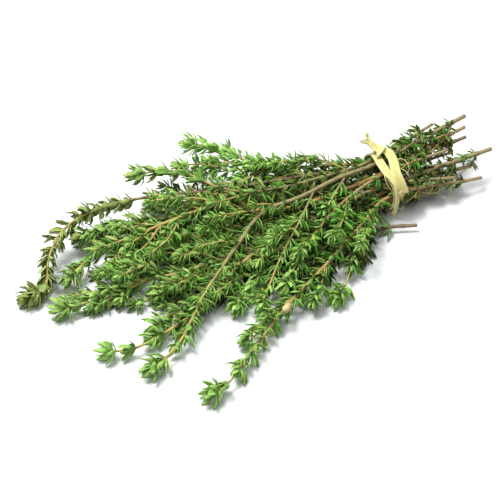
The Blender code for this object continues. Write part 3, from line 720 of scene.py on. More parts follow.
def settle(routes, owners, mains):
    """Bends the stems clear of each other, as they rest on one another in a real bundle."""
    start = np.vstack(routes)
    owner = np.concatenate([np.full(len(r), n) for r, n in zip(routes, owners)])
    firsts = np.concatenate([[0], np.cumsum([len(r) for r in routes])])
    other = owner[:, None] != owner[None, :]
    grown = np.clip((np.abs(start[:, 0]) - SPACING_GROWS_FROM) / SPACING_GROWS_OVER, 0, 1)
    wanted = STEM_SPACING + (FAN_SPACING - STEM_SPACING) * grown
    spacing = (wanted[:, None] + wanted[None, :]) / 2
    tied = np.array([sprig.tie is not None for sprig in SPRIGS])[owner]
    shift = np.zeros_like(start)
    for _ in range(SETTLE_ROUNDS):
        place = start + shift
        apart = place[:, None, :] - place[None, :, :]
        far = np.linalg.norm(apart, axis=2) + 1e-9
        near = other & (far < spacing)
        push = np.where(near, (spacing - far) / far, 0.0)
        shift += PUSH_SHARE * np.einsum("ij,ijk->ik", push, apart)
        for first, last in zip(firsts[:-1], firsts[1:]):
            run = shift[first:last]
            run[1:-1] += EVEN_OUT_SHARE * (run[:-2] + run[2:] - 2 * run[1:-1])
        place = start + shift
        hold_in_tie(place, tied)
        keep_outside_tie(place, tied)
        place[:, 2] = np.maximum(place[:, 2], STEM_FLOOR)
        shift = place - start
        for k, main in enumerate(mains):
            if main != k:
                follow_stem(shift, start, firsts, k, main)
        shift *= SHIFT_KEPT
    place = start + shift
    return [place[a:b] for a, b in zip(firsts[:-1], firsts[1:])]


def hold_in_tie(place, tied):
    """Stems that the raffia goes round stay inside it."""
    inner_y = TIE_HALF_WIDTH - TURN_THICKNESS / 2 - THICKEST_STEM - STEM_TO_TIE_GAP
    inner_z = TIE_HALF_HEIGHT - TURN_THICKNESS / 2 - THICKEST_STEM - STEM_TO_TIE_GAP
    near = tied & (np.abs(place[:, 0]) < HELD_WITHIN)
    y = place[near, 1] / inner_y
    z = (place[near, 2] - TIE_CENTRE_Z) / inner_z
    reach = np.maximum(np.hypot(y, z), 1.0)
    place[near, 1] = y / reach * inner_y
    place[near, 2] = TIE_CENTRE_Z + z / reach * inner_z


def keep_outside_tie(place, tied):
    """The sprig that lies beside the bundle stays clear of the raffia."""
    limit = -(TIE_HALF_WIDTH + TURN_THICKNESS / 2 + LOOSE_SPRIG_TO_TIE)
    near = ~tied & (np.abs(place[:, 0]) < LOOSE_SPRIG_PASSES)
    place[near, 1] = np.minimum(place[near, 1], limit)


def follow_stem(shift, start, firsts, shoot, main):
    """Keeps a shoot's root on the stem that it grows from, however far that was moved."""
    root = start[firsts[shoot]]
    stem = start[firsts[main]:firsts[main + 1]]
    nearest = firsts[main] + int(np.argmin(np.linalg.norm(stem - root, axis=1)))
    joined = start[nearest] + shift[nearest] - root
    count = min(ROOT_FOLLOWS_OVER, firsts[shoot + 1] - firsts[shoot])
    for k in range(count):
        share = 1 - k / count
        here = firsts[shoot] + k
        shift[here] = share * joined + (1 - share) * shift[here]


# Shared modelling steps

def deselect_all():
    for chosen in list(bpy.context.selected_objects):
        chosen.select_set(False)


def make_active(piece):
    deselect_all()
    piece.select_set(True)
    bpy.context.view_layer.objects.active = piece


def link(name, data):
    """A new object in the scene that shows a mesh, curve, light or camera."""
    made = bpy.data.objects.new(name, data)
    bpy.context.scene.collection.objects.link(made)
    return made


def put_attribute(mesh, name, values, vector=False):
    """Stores one value or vector for each point of a mesh."""
    layer = mesh.attributes.new(name, "FLOAT_VECTOR" if vector else "FLOAT", "POINT")
    layer.data.foreach_set("vector" if vector else "value", np.ascontiguousarray(values, np.float32).ravel())


def points_of(mesh):
    flat = np.empty(len(mesh.vertices) * 3, np.float32)
    mesh.vertices.foreach_get("co", flat)
    return flat.reshape(-1, 3).astype(float)


def tube_along(name, line, radii, profile, end_turn=0.0):
    """A mesh tube: a curve along a line with its own cross-section, converted, its caps welded."""
    section_curve = bpy.data.curves.new(name + "_section", "CURVE")
    outline = section_curve.splines.new("POLY")
    outline.points.add(len(profile) - 1)
    outline.use_cyclic_u = True
    for point, (x, y) in zip(outline.points, profile):
        point.co = (x, y, 0, 1)
    section = link(name + "_section", section_curve)
    curve = bpy.data.curves.new(name, "CURVE")
    curve.dimensions = "3D"
    curve.bevel_mode = "OBJECT"
    curve.bevel_object = section
    curve.use_fill_caps = True
    curve.twist_mode = "MINIMUM"
    spline = curve.splines.new("POLY")
    spline.points.add(len(line) - 1)
    for point, place, radius, tilt in zip(spline.points, line, radii, np.linspace(0, end_turn, len(line))):
        point.co = (*place, 1.0)
        point.radius = radius
        point.tilt = tilt
    made = link(name, curve)
    make_active(made)
    bpy.ops.object.convert(target="MESH")
    bpy.data.objects.remove(section)
    bpy.ops.object.mode_set(mode="EDIT")
    bpy.ops.mesh.select_all(action="SELECT")
    bpy.ops.mesh.remove_doubles(threshold=WELD_WITHIN)
    bpy.ops.mesh.normals_make_consistent(inside=False)
    bpy.ops.object.mode_set(mode="OBJECT")
    return made


def along_line(line, points):
    """For each point: how far along a line it is, the way out to it, and the nearest point's number."""
    nearest = np.argmin(np.linalg.norm(points[:, None, :] - line[None, :, :], axis=2), axis=1)
    return distances(line)[nearest], points - line[nearest], nearest


def finish_piece(parts, name, node):
    """Joins the parts of a piece, which rides with the root body in place of a node."""
    make_active(parts[0])
    for part in parts[1:]:
        part.select_set(True)
    bpy.ops.object.join()
    piece = bpy.context.object
    piece.name = name
    for face in piece.data.polygons:
        face.use_smooth = True
    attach(piece, "root")
    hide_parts(node)
    return piece


# Stems

def stem_profile(sides):
    """A square with rounded corners, as a thyme stem has in section."""
    power = SECTION_ROUNDNESS
    turns = np.arange(sides) * math.tau / sides + math.pi / 4
    reach = (np.abs(np.cos(turns)) ** power + np.abs(np.sin(turns)) ** power) ** (-1 / power)
    reach /= reach.max()
    return [(r * math.cos(t), r * math.sin(t)) for r, t in zip(reach, turns)]


def stem_piece(name, route, radius, tip_radius, joints, ages, bark, draw, bundle, sides):
    """A stem or a shoot with a swelling at each joint, marked with what its bark needs."""
    line = smooth_route(route, bundle.stems.ring_step)
    along = distances(line)
    taper = [share * radius for share in STEM_TAPER] + [tip_radius]
    radii = np.interp(along / along[-1], STEM_TAPER_AT, taper)
    near_joint = np.zeros(len(line))
    for place in joints:
        near_joint = np.maximum(near_joint, np.exp(-((along - place) / JOINT_REACH) ** 2))
    wobble = np.array([draw.uniform(-1, 1) for _ in line])
    wobble = np.convolve(wobble, np.ones(5) / 5, "same")
    radii = radii * (1 + bundle.stems.node_swell * near_joint + STEM_UNEVENNESS * wobble)
    made = tube_along(name, line, radii, stem_profile(sides))
    place, out, nearest = along_line(line, points_of(made.data))
    put_attribute(made.data, "age", ages[0] + (ages[1] - ages[0]) * place / along[-1])
    put_attribute(made.data, "tint", np.full(len(place), bark))
    put_attribute(made.data, "joint", near_joint[nearest])
    grain = np.stack([out[:, 1], out[:, 2], place + draw.uniform(0, 50)], axis=1) / MM
    put_attribute(made.data, "grain", grain, vector=True)
    for material in bundle.bark:
        made.data.materials.append(material)
    for face in made.data.polygons:
        if len(face.vertices) >= sides and (face.center - Vector(line[0])).length < CUT_FACE_WITHIN:
            face.material_index = 1
    return made


# Leaves

def model_leaf(corners, rings):
    """One leaf of unit length along +Z, one unit of half width along X, its underside to +Y.

    It starts as a circle, is drawn out ring by ring and closed at the tip. Then its margins are rolled
    under and its midrib is sunk.
    """
    deselect_all()
    bpy.ops.mesh.primitive_circle_add(vertices=corners, radius=rings[0][1], fill_type="NGON",
                                      location=(0, 0, 0))
    leaf = bpy.context.object
    bpy.ops.object.mode_set(mode="EDIT")
    bpy.ops.mesh.select_all(action="SELECT")
    for (low, narrow), (high, wide) in zip(rings[:-1], rings[1:]):
        bpy.ops.mesh.extrude_region_move(TRANSFORM_OT_translate={"value": (0, 0, high - low)})
        bpy.ops.transform.resize(value=(wide / narrow, wide / narrow, 1))
    bpy.ops.mesh.extrude_region_move(TRANSFORM_OT_translate={"value": (0, 0, 1 - rings[-1][0])})
    bpy.ops.mesh.merge(type="CENTER")
    bpy.ops.mesh.select_all(action="SELECT")
    bpy.ops.mesh.normals_make_consistent(inside=False)
    bpy.ops.object.mode_set(mode="OBJECT")
    heights, widths = np.array((*rings, (1.0, 0.0))).T
    across, under = [], []
    for vertex in leaf.data.vertices:
        x, y, z = vertex.co
        wide = max(1e-6, float(np.interp(z, heights, widths)))
        side, face = abs(x / wide), y / wide
        section = MARGIN_ROLL * side * side - BLADE_SWELL * (1 - side) * side
        if face > 0.1:
            section += BLADE_THICKNESS
        elif face < -0.1 and side < 0.1:
            section += MIDRIB_GROOVE
        stalk = 1 - min(1.0, z / STALK_UP_TO)
        vertex.co.y = wide * ((1 - stalk) * section + stalk * face * STALK_THICKNESS)
        across.append(min(1.0, side))
        under.append(1.0 if face > 0.1 else 0.0)
    pattern = (points_of(leaf.data), [tuple(f.vertices) for f in leaf.data.polygons], across, under)
    bpy.data.objects.remove(leaf)
    return pattern


def arched(points, length, width, bend):
    """The leaf's pattern at its size, arched towards its underside by an angle over its length."""
    turn = bend * points[:, 2]
    radius = length / bend
    x = points[:, 0] * width / 2
    y = points[:, 1] * width / 2
    rise = radius * (1 - np.cos(turn)) + y * np.cos(turn)
    return np.stack([x, rise, radius * np.sin(turn) - y * np.sin(turn)], axis=1)


def leaf_frame(root, along_stem, outward, angle):
    """The matrix that sets a leaf on a stem: +Z along the leaf, +Y to its underside."""
    lean = math.radians(angle)
    direction = math.cos(lean) * along_stem + math.sin(lean) * outward
    under = -(math.sin(lean) * along_stem - math.cos(lean) * outward)
    across = under.cross(direction)
    turned = Matrix((across, under, direction)).transposed().to_4x4()
    turned.translation = root
    return turned


# What all sprigs are grown with: settings, materials, leaf patterns, the tie's solid, and the points of all
# stems and of those on top
Bundle = namedtuple("Bundle", "stems leaves bark leaf patterns tie all_stems top_stems")


class Foliage:
    """Collects the leaves of one sprig and makes them one mesh."""

    def __init__(self, bundle, draw):
        self.bundle = bundle
        self.draw = draw
        self.left_out = 0.0
        self.points, self.faces, self.grains = [], [], []
        self.marks = {"age": [], "tint": [], "green": [], "rib": [], "under": []}
        self.count = 0

    def add(self, root, along_stem, outward, angle, size, age, green, bend, broad):
        """Sets one leaf on the stem, unless it is left out there."""
        draw, settings = self.draw, self.bundle.leaves
        above = outward.z > UPPER_SIDE_FROM and age < TIP_LEAF_AGE and root.x < 0
        if above and draw.random() < self.left_out:
            return
        depth = self.depth_of(root)
        if depth > HIDDEN_DEPTH and draw.random() < HIDDEN_LEFT_OUT:
            return
        # Painted shade: a leaf deep under the stems is given a lower age, so it takes the dark old leaf
        # colour and less coat
        age *= 1 - PAINTED_DEPTH_SHADE * min(1.0, depth / PAINTED_SHADE_FULL_DEPTH)
        pattern, faces, rib, under = self.bundle.patterns[0 if size > SMALL_LEAF_BELOW else 1]
        narrowed = NARROWEST + WIDENS_WITH_SIZE * size
        width = settings.width * narrowed * broad * draw.uniform(*WIDTH_VARIES)
        bend = draw.gauss(bend, BEND_VARIES)
        if abs(bend) <= LEAST_BEND:
            bend = LEAST_BEND
        shape = arched(pattern, settings.length * size, width, bend)
        frame = leaf_frame(root, along_stem, outward, angle)
        frame = frame @ Matrix.Rotation(draw.gauss(0, ROLL_VARIES), 4, "Z")
        placed = self.above_floor(shape, frame)
        if placed is None or self.in_tie(placed, faces) or self.over_stem(placed[-1]):
            return
        self.points.append(placed)
        self.faces.extend(tuple(self.count + k for k in face) for face in faces)
        self.count += len(placed)
        marks = {"age": age, "tint": draw.random(), "green": green, "rib": rib, "under": under}
        for name, values in marks.items():
            self.marks[name].append(np.broadcast_to(np.asarray(values, float), len(placed)))
        offset = np.array([draw.uniform(0, 90), draw.uniform(0, 90), 0])
        self.grains.append(shape / MM + offset)

    def above_floor(self, shape, frame):
        """The leaf's points, turned up about its root until none is under the surface, or None."""
        for _ in range(LIFT_STEPS):
            placed = shape @ np.array(frame.to_3x3()).T + np.array(frame.translation)
            if placed[:, 2].min() > LEAF_FLOOR:
                return placed
            hinge = frame.col[2].to_3d().cross(Vector((0, 0, 1)))
            if hinge.length < 1e-6:
                return None
            root = Matrix.Translation(frame.translation)
            frame = root @ Matrix.Rotation(LIFT_STEP, 4, hinge.normalized()) @ root.inverted() @ frame
        return None

    def depth_of(self, root):
        """How far a leaf grows below the highest stem round about."""
        stems = self.bundle.all_stems
        apart = np.hypot(stems[:, 0] - root.x, stems[:, 1] - root.y)
        return max(0.0, float(stems[apart < DEPTH_LOOKS_ROUND, 2].max(initial=0.0)) - root.z)

    def over_stem(self, tip):
        """Whether a leaf's tip would stand over one of the stems on top of the bundle."""
        stems = self.bundle.top_stems
        apart = np.hypot(stems[:, 0] - tip[0], stems[:, 1] - tip[1])
        nearest = int(np.argmin(apart))
        return apart[nearest] < OPEN_BESIDE_STEM and tip[2] > stems[nearest, 2] + OVER_STEM_FROM

    def in_tie(self, placed, faces):
        """Whether a leaf would pass through the raffia."""
        if abs(placed[:, 0]).min() > NEAR_TIE_WITHIN:
            return False
        return bool(BVHTree.FromPolygons([Vector(p) for p in placed], faces).overlap(self.bundle.tie))

    def piece(self, name):
        mesh = bpy.data.meshes.new(name)
        mesh.from_pydata(np.concatenate(self.points), [], self.faces)
        for mark, values in self.marks.items():
            put_attribute(mesh, mark, np.concatenate(values))
        put_attribute(mesh, "grain", np.concatenate(self.grains), vector=True)
        mesh.materials.append(self.bundle.leaf)
        return link(name, mesh)


def leaf_joints(line, first, settings, gap=1.0):
    """Places along a stem where leaves grow, as distance from its start, wider apart by gap at the tip."""
    total = distances(line)[-1]
    places, here = [], first
    while here < total - LAST_JOINT_BEFORE_TIP:
        places.append(here)
        young = min(1.0, here / total / CLOSEST_JOINTS_FROM)
        step = settings.woody_step + (settings.young_step - settings.woody_step) * young
        here += step * (gap if total - here < WIDE_GAPS_WITHIN else 1.0)
    return places


def point_at(line, along):
    """The point at a distance along a line, and the line's direction there."""
    reach = 1.5 * MM
    behind, here, ahead = (Vector(places_on(line, along + shift)) for shift in (-reach, 0, reach))
    return here, (ahead - behind).normalized()


def turned_about(tangent, angle):
    """The way out from a stem at an angle round it."""
    return Matrix.Rotation(angle, 3, tangent) @ tangent.orthogonal().normalized()


def leafy_joint(foliage, point, tangent, turn, size, age, green, cupped, tuft):
    """A crossed pair of leaves with a tuft of smaller ones in each axil."""
    draw = foliage.draw
    pressed = PRESSED_LEAN if abs(point.x) < TIE_PRESSES_WITHIN else 1.0
    broad = 1.0 + CUPPED_WIDTH * cupped + BROWNED_WIDTH * max(0.0, BROWNED_BELOW - green)
    low, high = TUFT_LEANS
    for half in (0, 1):
        around = turn + half * math.pi + draw.uniform(-AROUND_VARIES, AROUND_VARIES)
        lean = PAIR_LEAN + CUPPED_LEAN * cupped + draw.uniform(-PAIR_LEAN_VARIES, PAIR_LEAN_VARIES)
        foliage.add(point, tangent, turned_about(tangent, around), lean * pressed,
                    size * draw.uniform(*PAIR_SIZES), age, green,
                    LEAF_BEND + CUPPED_PAIR_BEND * cupped, broad)
        for _ in range(tuft + draw.randint(-1, 1)):
            outward = turned_about(tangent, around + draw.uniform(-TUFT_SPREAD, TUFT_SPREAD))
            root = point + tangent * draw.uniform(0.0, TUFT_ABOVE) * MM
            root = root + outward * draw.uniform(*TUFT_OUT) * MM
            lean = draw.uniform(low, high + CUPPED_TUFT_LEAN * cupped) * pressed
            foliage.add(root, tangent, outward, lean, size * draw.uniform(*TUFT_SIZES),
                        min(YOUNG, age + TUFT_YOUNGER), green, LEAF_BEND + CUPPED_TUFT_BEND * cupped, broad)


def rosette(foliage, line, size, age, green, whorl=CLAW_WHORL):
    """The whorls of short recurved leaves that close the tip of a stem or shoot."""
    draw = foliage.draw
    lean_share, bend, broad = whorl
    end, tangent = point_at(line, distances(line)[-1] - ROSETTE_BEHIND_END)
    turn = draw.uniform(0, math.tau)
    for count, lean, share, back in TIP_WHORLS:
        turn += math.pi / 4
        for k in range(count):
            around = turn + math.tau * k / count + draw.uniform(-AROUND_VARIES, AROUND_VARIES)
            angle = lean * lean_share + draw.uniform(-WHORL_LEAN_VARIES, WHORL_LEAN_VARIES)
            foliage.add(end - tangent * back * MM, tangent, turned_about(tangent, around), angle,
                        size * share * draw.uniform(*WHORL_SIZES), age, green, bend, broad)


def clothe_stem(foliage, line, places, sprig):
    """All the leaves of a main stem."""
    draw = foliage.draw
    total = distances(line)[-1]
    turn = draw.uniform(0, math.tau)
    for here in places:
        point, tangent = point_at(line, here)
        bare = -sprig.bare * MM < point.x < BARE_UP_TO
        if bare and draw.random() < BARE_LEFT_OUT:
            continue
        foliage.left_out = sprig.show if bare else sprig.show * LEAFY_SHOWS
        if point.x > CUT_END_FROM or bare:
            size = draw.uniform(*CUT_END_SIZES)
            age = CUT_END_AGE + CUT_END_AGE_VARIES * draw.random()
            green, tuft = sprig.green * CUT_END_GREEN, CUT_END_TUFT
        else:
            grown = min(1.0, 0.5 - point.x / GROWN_OVER)
            size = SMALLEST_LEAF + (1 - SMALLEST_LEAF) * grown
            age = float(np.interp(here / total, AGE_AT, AGES))
            green, tuft = sprig.green, TUFT_LEAVES
        cupped = 1 if total - here < TIP_CUPPED_WITHIN else 0
        dense = 1 if green < DENSE_BELOW else 0
        tuft += EXTRA_TUFT * (cupped + dense)
        leafy_joint(foliage, point, tangent, turn, size, age, green, cupped, tuft)
        turn += math.pi / 2 + draw.uniform(-CROSSING_VARIES, CROSSING_VARIES)
    rosette(foliage, line, MAIN_ROSETTE_SIZE, YOUNG, sprig.green)


def clothe_shoot(foliage, line, places, size, ages, green, tuft=TUFT_LEAVES, cupped=SHOOT_CUPPED):
    """All the leaves of a side shoot, from the age at its root to the age at its tip."""
    draw = foliage.draw
    total = distances(line)[-1]
    turn = draw.uniform(0, math.tau)
    for here in places:
        point, tangent = point_at(line, here)
        age = ages[0] + (ages[1] - ages[0]) * here / total
        leafy_joint(foliage, point, tangent, turn, size, age, green, cupped, tuft)
        turn += math.pi / 2 + draw.uniform(-CROSSING_VARIES, CROSSING_VARIES)
    if tuft >= TUFT_LEAVES:
        rosette(foliage, line, size, ages[1], green, CLAW_WHORL if cupped else OPEN_WHORL)


def twigs_reach(sprig):
    """Up to where on its stems a sprig has short shoots, as a share of the stem's length."""
    if sprig.bushy > BUSHY_FROM:
        return BUSHY_TWIGS_UP_TO
    return SPARSE_TWIGS_UP_TO if sprig.gap > WIDE_GAPS_FROM else TWIGS_UP_TO


def axil_twigs(line, places, sprig, draw):
    """Short leafy shoots that grow from some of a stem's joints and curve forward along it."""
    total = distances(line)[-1]
    twigs = []
    for here in places:
        point, tangent = point_at(line, here)
        at_cut_end = point.x > 0
        by_tie = -max(TWIGS_CLEAR_OF_TIE, sprig.bare) * MM < point.x < TWIGS_CLEAR_OF_TIE * MM
        likely = CUT_END_TWIG_SHARE if at_cut_end else sprig.bushy
        if draw.random() > likely or by_tie or here / total > twigs_reach(sprig):
            continue
        kind = CUT_END_TWIGS if at_cut_end else FAN_TWIGS
        outward = turned_about(tangent, draw.uniform(0, math.tau))
        long = draw.uniform(*kind.long) * MM
        lean = math.radians(draw.uniform(*TWIG_LEANS))
        middle = point + (tangent * math.cos(lean) + outward * math.sin(lean)) * long * TWIG_LOWER_SHARE
        lean /= 2
        end = middle + (tangent * math.cos(lean) + outward * math.sin(lean)) * long * (1 - TWIG_LOWER_SHARE)
        for reached in (middle, end):
            reached.z = max(TWIG_FLOOR, min(point.z + TWIG_ABOVE_STEM, TWIG_CEILING, reached.z))
        twigs.append((smooth_route([point, middle, end], TWIG_STEP), kind))
    return twigs


def with_tip(line):
    """A stem's route with the little that goes on under its last leaves."""
    ahead = line[-1] - line[-2]
    end = line[-1] + ahead / np.linalg.norm(ahead) * TIP_STEM_GOES_ON
    end[2] = max(end[2], STEM_FLOOR)
    return np.vstack([line, end])


def grow_sprig(number, sprig, lines, bundle):
    """One whole sprig as one mesh: its stem, shoots, twigs and leaves."""
    draw = random.Random(SEED * 1000 + number)
    foliage = Foliage(bundle, draw)
    pieces = []
    radius, sides = sprig.radius * MM, bundle.stems.sides
    for k, line in enumerate(map(with_tip, lines)):
        if k == 0:
            start, ages = radius, STEM_AGES
            places = leaf_joints(line, draw.uniform(*FIRST_JOINT) * MM, bundle.leaves, sprig.gap)
            clothe_stem(foliage, line, places, sprig)
            twigs = axil_twigs(line, places, sprig, draw)
        else:
            start, ages = radius * SHOOT_SHARE, SHOOT_STEM_AGES
            places = leaf_joints(line, FIRST_SHOOT_JOINT, bundle.leaves)
            clothe_shoot(foliage, line, places, SHOOT_LEAF_SIZE, SHOOT_AGES, sprig.green)
            twigs = axil_twigs(line, places[:-2], sprig, draw)
        pieces.append(stem_piece(f"stem_{k}", line, start, radius * TIP_SHARE, places, ages, sprig.bark,
                                 draw, bundle, sides))
        for twig, kind in twigs:
            places = leaf_joints(twig, FIRST_TWIG_JOINT, bundle.leaves)
            clothe_shoot(foliage, twig, places, draw.uniform(*kind.sizes), kind.ages, sprig.green,
                         kind.tuft, 0.0)
            pieces.append(stem_piece("twig", twig, TWIG_RADIUS, TWIG_TIP_RADIUS, places, kind.stem_ages,
                                     sprig.bark, draw, bundle, TWIG_SIDES))
    if sprig.name == STUB_SPRIG:
        stub = np.array(STUB_ROUTE)[::-1] * MM
        pieces.append(stem_piece("stub", stub, STUB_RADIUS, STUB_RADIUS * STUB_NARROWS_TO, [],
                                 (STUB_AGE, STUB_AGE), CALLUS_TINT, draw, bundle, sides))
    pieces.append(foliage.piece("leaves"))
    finish_piece(pieces, "thyme_" + sprig.name, sprig.name)


def stub_surroundings():
    """Points close round the cut stub, which leaves keep off as they keep off the stems on top."""
    turns = np.linspace(0, math.tau, 8, endpoint=False)
    ring = np.stack([np.cos(turns), np.sin(turns), np.zeros(8)], axis=1) * STUB_RADIUS
    return np.vstack([np.array(place) * MM + ring for place in STUB_ROUTE])


def stems_on_top(routes, owners):
    """The points of the stems that show on top of the bundle, past the tie, with those round the stub."""
    points = [stub_surroundings()]
    for route, owner in zip(routes, owners):
        if SPRIGS[owner].show >= TOP_STEM_SHOWS:
            fine = resample(route, 1 * MM)
            points.append(fine[fine[:, 0] < TOP_STEM_FROM])
    return np.vstack(points)


# Raffia

def raffia_profile(pleats, thickness, draw):
    """The folded strip in section, 1 wide: a thin lens whose two faces rise and fall with its pleats."""
    phase = draw.uniform(0, math.tau)
    xs = np.linspace(-1, 1, pleats * 4 + 1)
    waves = sum(height * np.sin(xs * math.pi * pleats * often + late * phase)
                for height, often, late in PLEAT_WAVES)
    body = np.sqrt(np.clip(1 - xs ** 4, 0.03, 1)) * 0.55
    top = (body + waves) * thickness / 2 + 0.15 * thickness
    low = (-body + waves * 0.8) * thickness / 2 - 0.05 * thickness
    return [*zip(xs / 2, low), *zip(xs[::-1] / 2, top[::-1])]


def raffia_strand(name, line, widths, thickness, settings, draw, end_turn=0.0):
    """A strip of raffia along a line, pleated, its width changing along the way."""
    profile = raffia_profile(settings.pleats, thickness / max(widths), draw)
    made = tube_along(name, line, widths, profile, end_turn)
    place, out, _ = along_line(line, points_of(made.data))
    place = place + draw.uniform(0, 80) * MM
    grain = np.stack([out[:, 0] + out[:, 1] * 0.6, out[:, 2] + out[:, 1] * 0.4, place], axis=1) / MM
    put_attribute(made.data, "grain", grain, vector=True)
    put_attribute(made.data, "fold", np.clip(np.linalg.norm(out, axis=1) / (max(widths) / 2), 0, 1))
    return made


def strip_widths(count, shares, draw):
    """A width for each point of a strand, from its start over its middle to its end."""
    widths = np.interp(np.linspace(0, 1, count), STRIP_WIDTHS_AT, np.array(shares) * STRIP_WIDTH)
    noise = np.convolve([draw.uniform(-1, 1) for _ in range(count + 8)], np.ones(9) / 9, "valid")
    return widths * (1 + STRIP_UNEVENNESS * noise)


def turn_line():
    """The raffia's closed course round the stems, from just behind the knot all the way round to it."""
    angles, places, widths = np.array(TURN_COURSE).T
    degrees = np.linspace(TURN_STARTS, TURN_STARTS + 360, TURN_POINTS)
    turns = np.radians(degrees)
    x = np.interp(degrees, angles, places, period=360) * MM
    x = np.convolve(np.pad(x, 4, mode="wrap"), np.ones(9) / 9, "valid")
    z = np.maximum(TIE_CENTRE_Z + np.cos(turns) * TIE_HALF_HEIGHT, TURN_FLOOR)
    wide = np.interp(degrees, angles, widths, period=360) * TURN_WIDENED * MM
    return np.stack([x, -np.sin(turns) * TIE_HALF_WIDTH, z], axis=1), wide


def frayed_end(line, width, count, end, settings, draw):
    """Loose fibres that go on past the end of a strand and part from each other."""
    fibres = []
    ahead = line[-1] - line[-4]
    ahead = ahead / np.linalg.norm(ahead)
    side = np.cross(ahead, [0, 0, 1.0])
    side = side / (np.linalg.norm(side) + 1e-9)
    lift = np.cross(side, ahead)
    for k in range(count):
        across = (k / max(1, count - 1) - 0.5) * width * FIBRES_ACROSS
        start = line[-1] - ahead * FIBRE_OVERLAP + side * across
        swing = across / width * end.spread + draw.uniform(-FIBRE_SWING, FIBRE_SWING)
        long = end.reach * MM * draw.uniform(*FIBRE_LENGTHS)
        bends = [start]
        for share in (0.35, 0.7, 1.0):
            rise = draw.uniform(-FIBRE_SWING, FIBRE_SWING) * long * share
            bends.append(start + ahead * (FIBRE_OVERLAP + long * share) + side * swing * long * share ** 1.6
                         + lift * rise)
        route = smooth_route(bends, STRAND_STEP)
        route[:, 2] = np.maximum(route[:, 2], FIBRE_FLOOR)
        thin = np.linspace(draw.uniform(*FIBRE_WIDTHS) * end.coarse, FIBRE_TIP_WIDTH, len(route)) * MM
        fibres.append(raffia_strand("fibre", route, thin, FIBRE_THICKNESS, settings, draw))
    return fibres


def tie_raffia(settings):
    """The whole tie as one mesh: the turn, the knot, three ends, their frayed fibres and a few strays."""
    draw = random.Random(SEED)
    pieces = [raffia_strand("turn", *turn_line(), settings.thickness, settings, draw)]
    for end in RAFFIA_ENDS:
        path = smooth_route(np.array(end.route) * MM, STRAND_STEP)
        widths = strip_widths(len(path), end.widths, draw)
        end_turn = draw.uniform(-STRIP_TWIST, STRIP_TWIST)
        thickness = settings.thickness * END_THICKENED
        pieces.append(raffia_strand(end.name, path, widths, thickness, settings, draw, end_turn))
        count = round(settings.frayed_fibres * end.fibres)
        pieces.extend(frayed_end(path, widths[-1], count, end, settings, draw))
    for route in STRAY_FIBRES:
        path = smooth_route(np.array(route) * MM, STRAND_STEP)
        thin = np.linspace(STRAY_WIDTH, FIBRE_TIP_WIDTH, len(path)) * MM
        pieces.append(raffia_strand("stray", path, thin, STRAY_THICKNESS, settings, draw))
    material = raffia_material(settings)
    for piece in pieces:
        piece.data.materials.append(material)
    finish_piece(pieces, "raffia_strip", "raffia_tie")


# Stage

def floor_piece():
    deselect_all()
    bpy.ops.mesh.primitive_plane_add(size=FLOOR_SIZE, location=(0, 0, 0))
    floor = bpy.context.object
    floor.name = "floor"
    shader = Shader("floor_white")
    shader.feed(Base_Color=FLOOR_COLOUR, Roughness=0.9)
    floor.data.materials.append(shader.material)


def soft_light(name, light, power):
    place, size, colour = light
    data = bpy.data.lights.new(name, "AREA")
    data.shape = "DISK"
    data.size = size
    data.energy = power
    data.color = colour
    lamp = link(name, data)
    lamp.location = place
    lamp.rotation_euler = (Vector(LIT_POINT) - Vector(place)).to_track_quat("-Z", "Y").to_euler()


def camera_at(settings):
    """The camera where the photograph was taken from."""
    data = bpy.data.cameras.new("camera")
    data.lens = settings.lens
    data.sensor_width = SENSOR_WIDTH
    data.clip_end = SEES_UP_TO
    camera = link("camera", data)
    flat = math.cos(settings.elevation)
    back = Vector((math.sin(settings.azimuth) * flat, -math.cos(settings.azimuth) * flat,
                   math.sin(settings.elevation)))
    camera.location = Vector(settings.target) + back * settings.distance
    camera.rotation_euler = (-back).to_track_quat("-Z", "Y").to_euler()
    bpy.context.scene.camera = camera


# Operators and panel

class THYME_OT_tie_raffia(Operator):
    """Replace the plain tie by a pleated raffia strip with frayed ends"""

    bl_idname = "thyme.tie_raffia"
    bl_label = "Tie Raffia"

    def execute(self, context):
        tie_raffia(context.scene.thyme_raffia)
        return {"FINISHED"}


class THYME_OT_grow_sprigs(Operator):
    """Replace every plain sprig by one with bark, swollen joints and all its leaves"""

    bl_idname = "thyme.grow_sprigs"
    bl_label = "Grow Sprigs"

    def execute(self, context):
        stems, leaves = context.scene.thyme_stems, context.scene.thyme_leaves
        routes, owners, mains = sprig_routes()
        routes = settle(routes, owners, mains)
        patterns = (model_leaf(LEAF_CORNERS, LEAF_RINGS), model_leaf(SMALL_LEAF_CORNERS, SMALL_LEAF_RINGS))
        tie = frame["nodes"]["raffia_tie"].data
        tie = BVHTree.FromPolygons([v.co for v in tie.vertices], [tuple(f.vertices) for f in tie.polygons])
        bundle = Bundle(stems, leaves, (bark_material(stems), cut_material(stems)), leaf_material(leaves),
                        patterns, tie, np.vstack(routes), stems_on_top(routes, owners))
        for number, sprig in enumerate(SPRIGS):
            lines = [route for route, owner in zip(routes, owners) if owner == number]
            grow_sprig(number, sprig, lines, bundle)
        return {"FINISHED"}


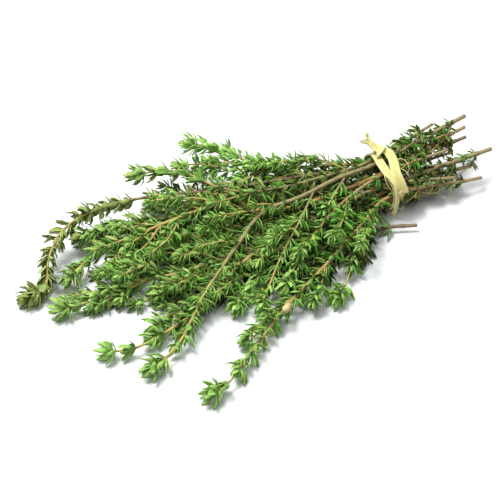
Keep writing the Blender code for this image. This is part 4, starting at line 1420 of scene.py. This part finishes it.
class THYME_OT_set_stage(Operator):
    """Lay a pale floor, light it softly and set the camera"""

    bl_idname = "thyme.set_stage"
    bl_label = "Set Stage"

    def execute(self, context):
        settings = context.scene.thyme_stage
        floor_piece()
        camera_at(settings)
        soft_light("key", KEY_LIGHT, settings.key_power)
        soft_light("top", TOP_LIGHT, settings.top_power)
        world = bpy.data.worlds.new("soft_sky")
        world.use_nodes = True
        sky = world.node_tree.nodes["Background"]
        sky.inputs["Color"].default_value = SKY_COLOUR
        sky.inputs["Strength"].default_value = settings.sky
        context.scene.world = world
        context.scene.view_settings.view_transform = "Standard"
        return {"FINISHED"}


class THYME_PT_bundle(Panel):
    """Steps and settings of the thyme bundle"""

    bl_label = "Thyme Bundle"
    bl_idname = "THYME_PT_bundle"
    bl_space_type = "VIEW_3D"
    bl_region_type = "UI"
    bl_category = "Thyme"

    def draw(self, context):
        scene = context.scene
        for operator, groups in (
                ("thyme.set_stage", (scene.thyme_stage,)),
                ("thyme.tie_raffia", (scene.thyme_raffia,)),
                ("thyme.grow_sprigs", (scene.thyme_stems, scene.thyme_leaves))):
            box = self.layout.box()
            box.operator(operator)
            for group in groups:
                for name in type(group).__annotations__:
                    box.prop(group, name)


SETTINGS = {"thyme_stems": StemSettings, "thyme_leaves": LeafSettings, "thyme_raffia": RaffiaSettings,
            "thyme_stage": StageSettings}
CLASSES = (*SETTINGS.values(), THYME_OT_tie_raffia, THYME_OT_grow_sprigs, THYME_OT_set_stage,
           THYME_PT_bundle)


def register():
    for cls in CLASSES:
        bpy.utils.register_class(cls)
    for name, group in SETTINGS.items():
        setattr(bpy.types.Scene, name, PointerProperty(type=group))


def unregister():
    for name in SETTINGS:
        delattr(bpy.types.Scene, name)
    for cls in reversed(CLASSES):
        bpy.utils.unregister_class(cls)


def main():
    register()
    bpy.ops.thyme.set_stage()
    bpy.ops.thyme.tie_raffia()
    bpy.ops.thyme.grow_sprigs()
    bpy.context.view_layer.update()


if __name__ == "__main__":
    main()
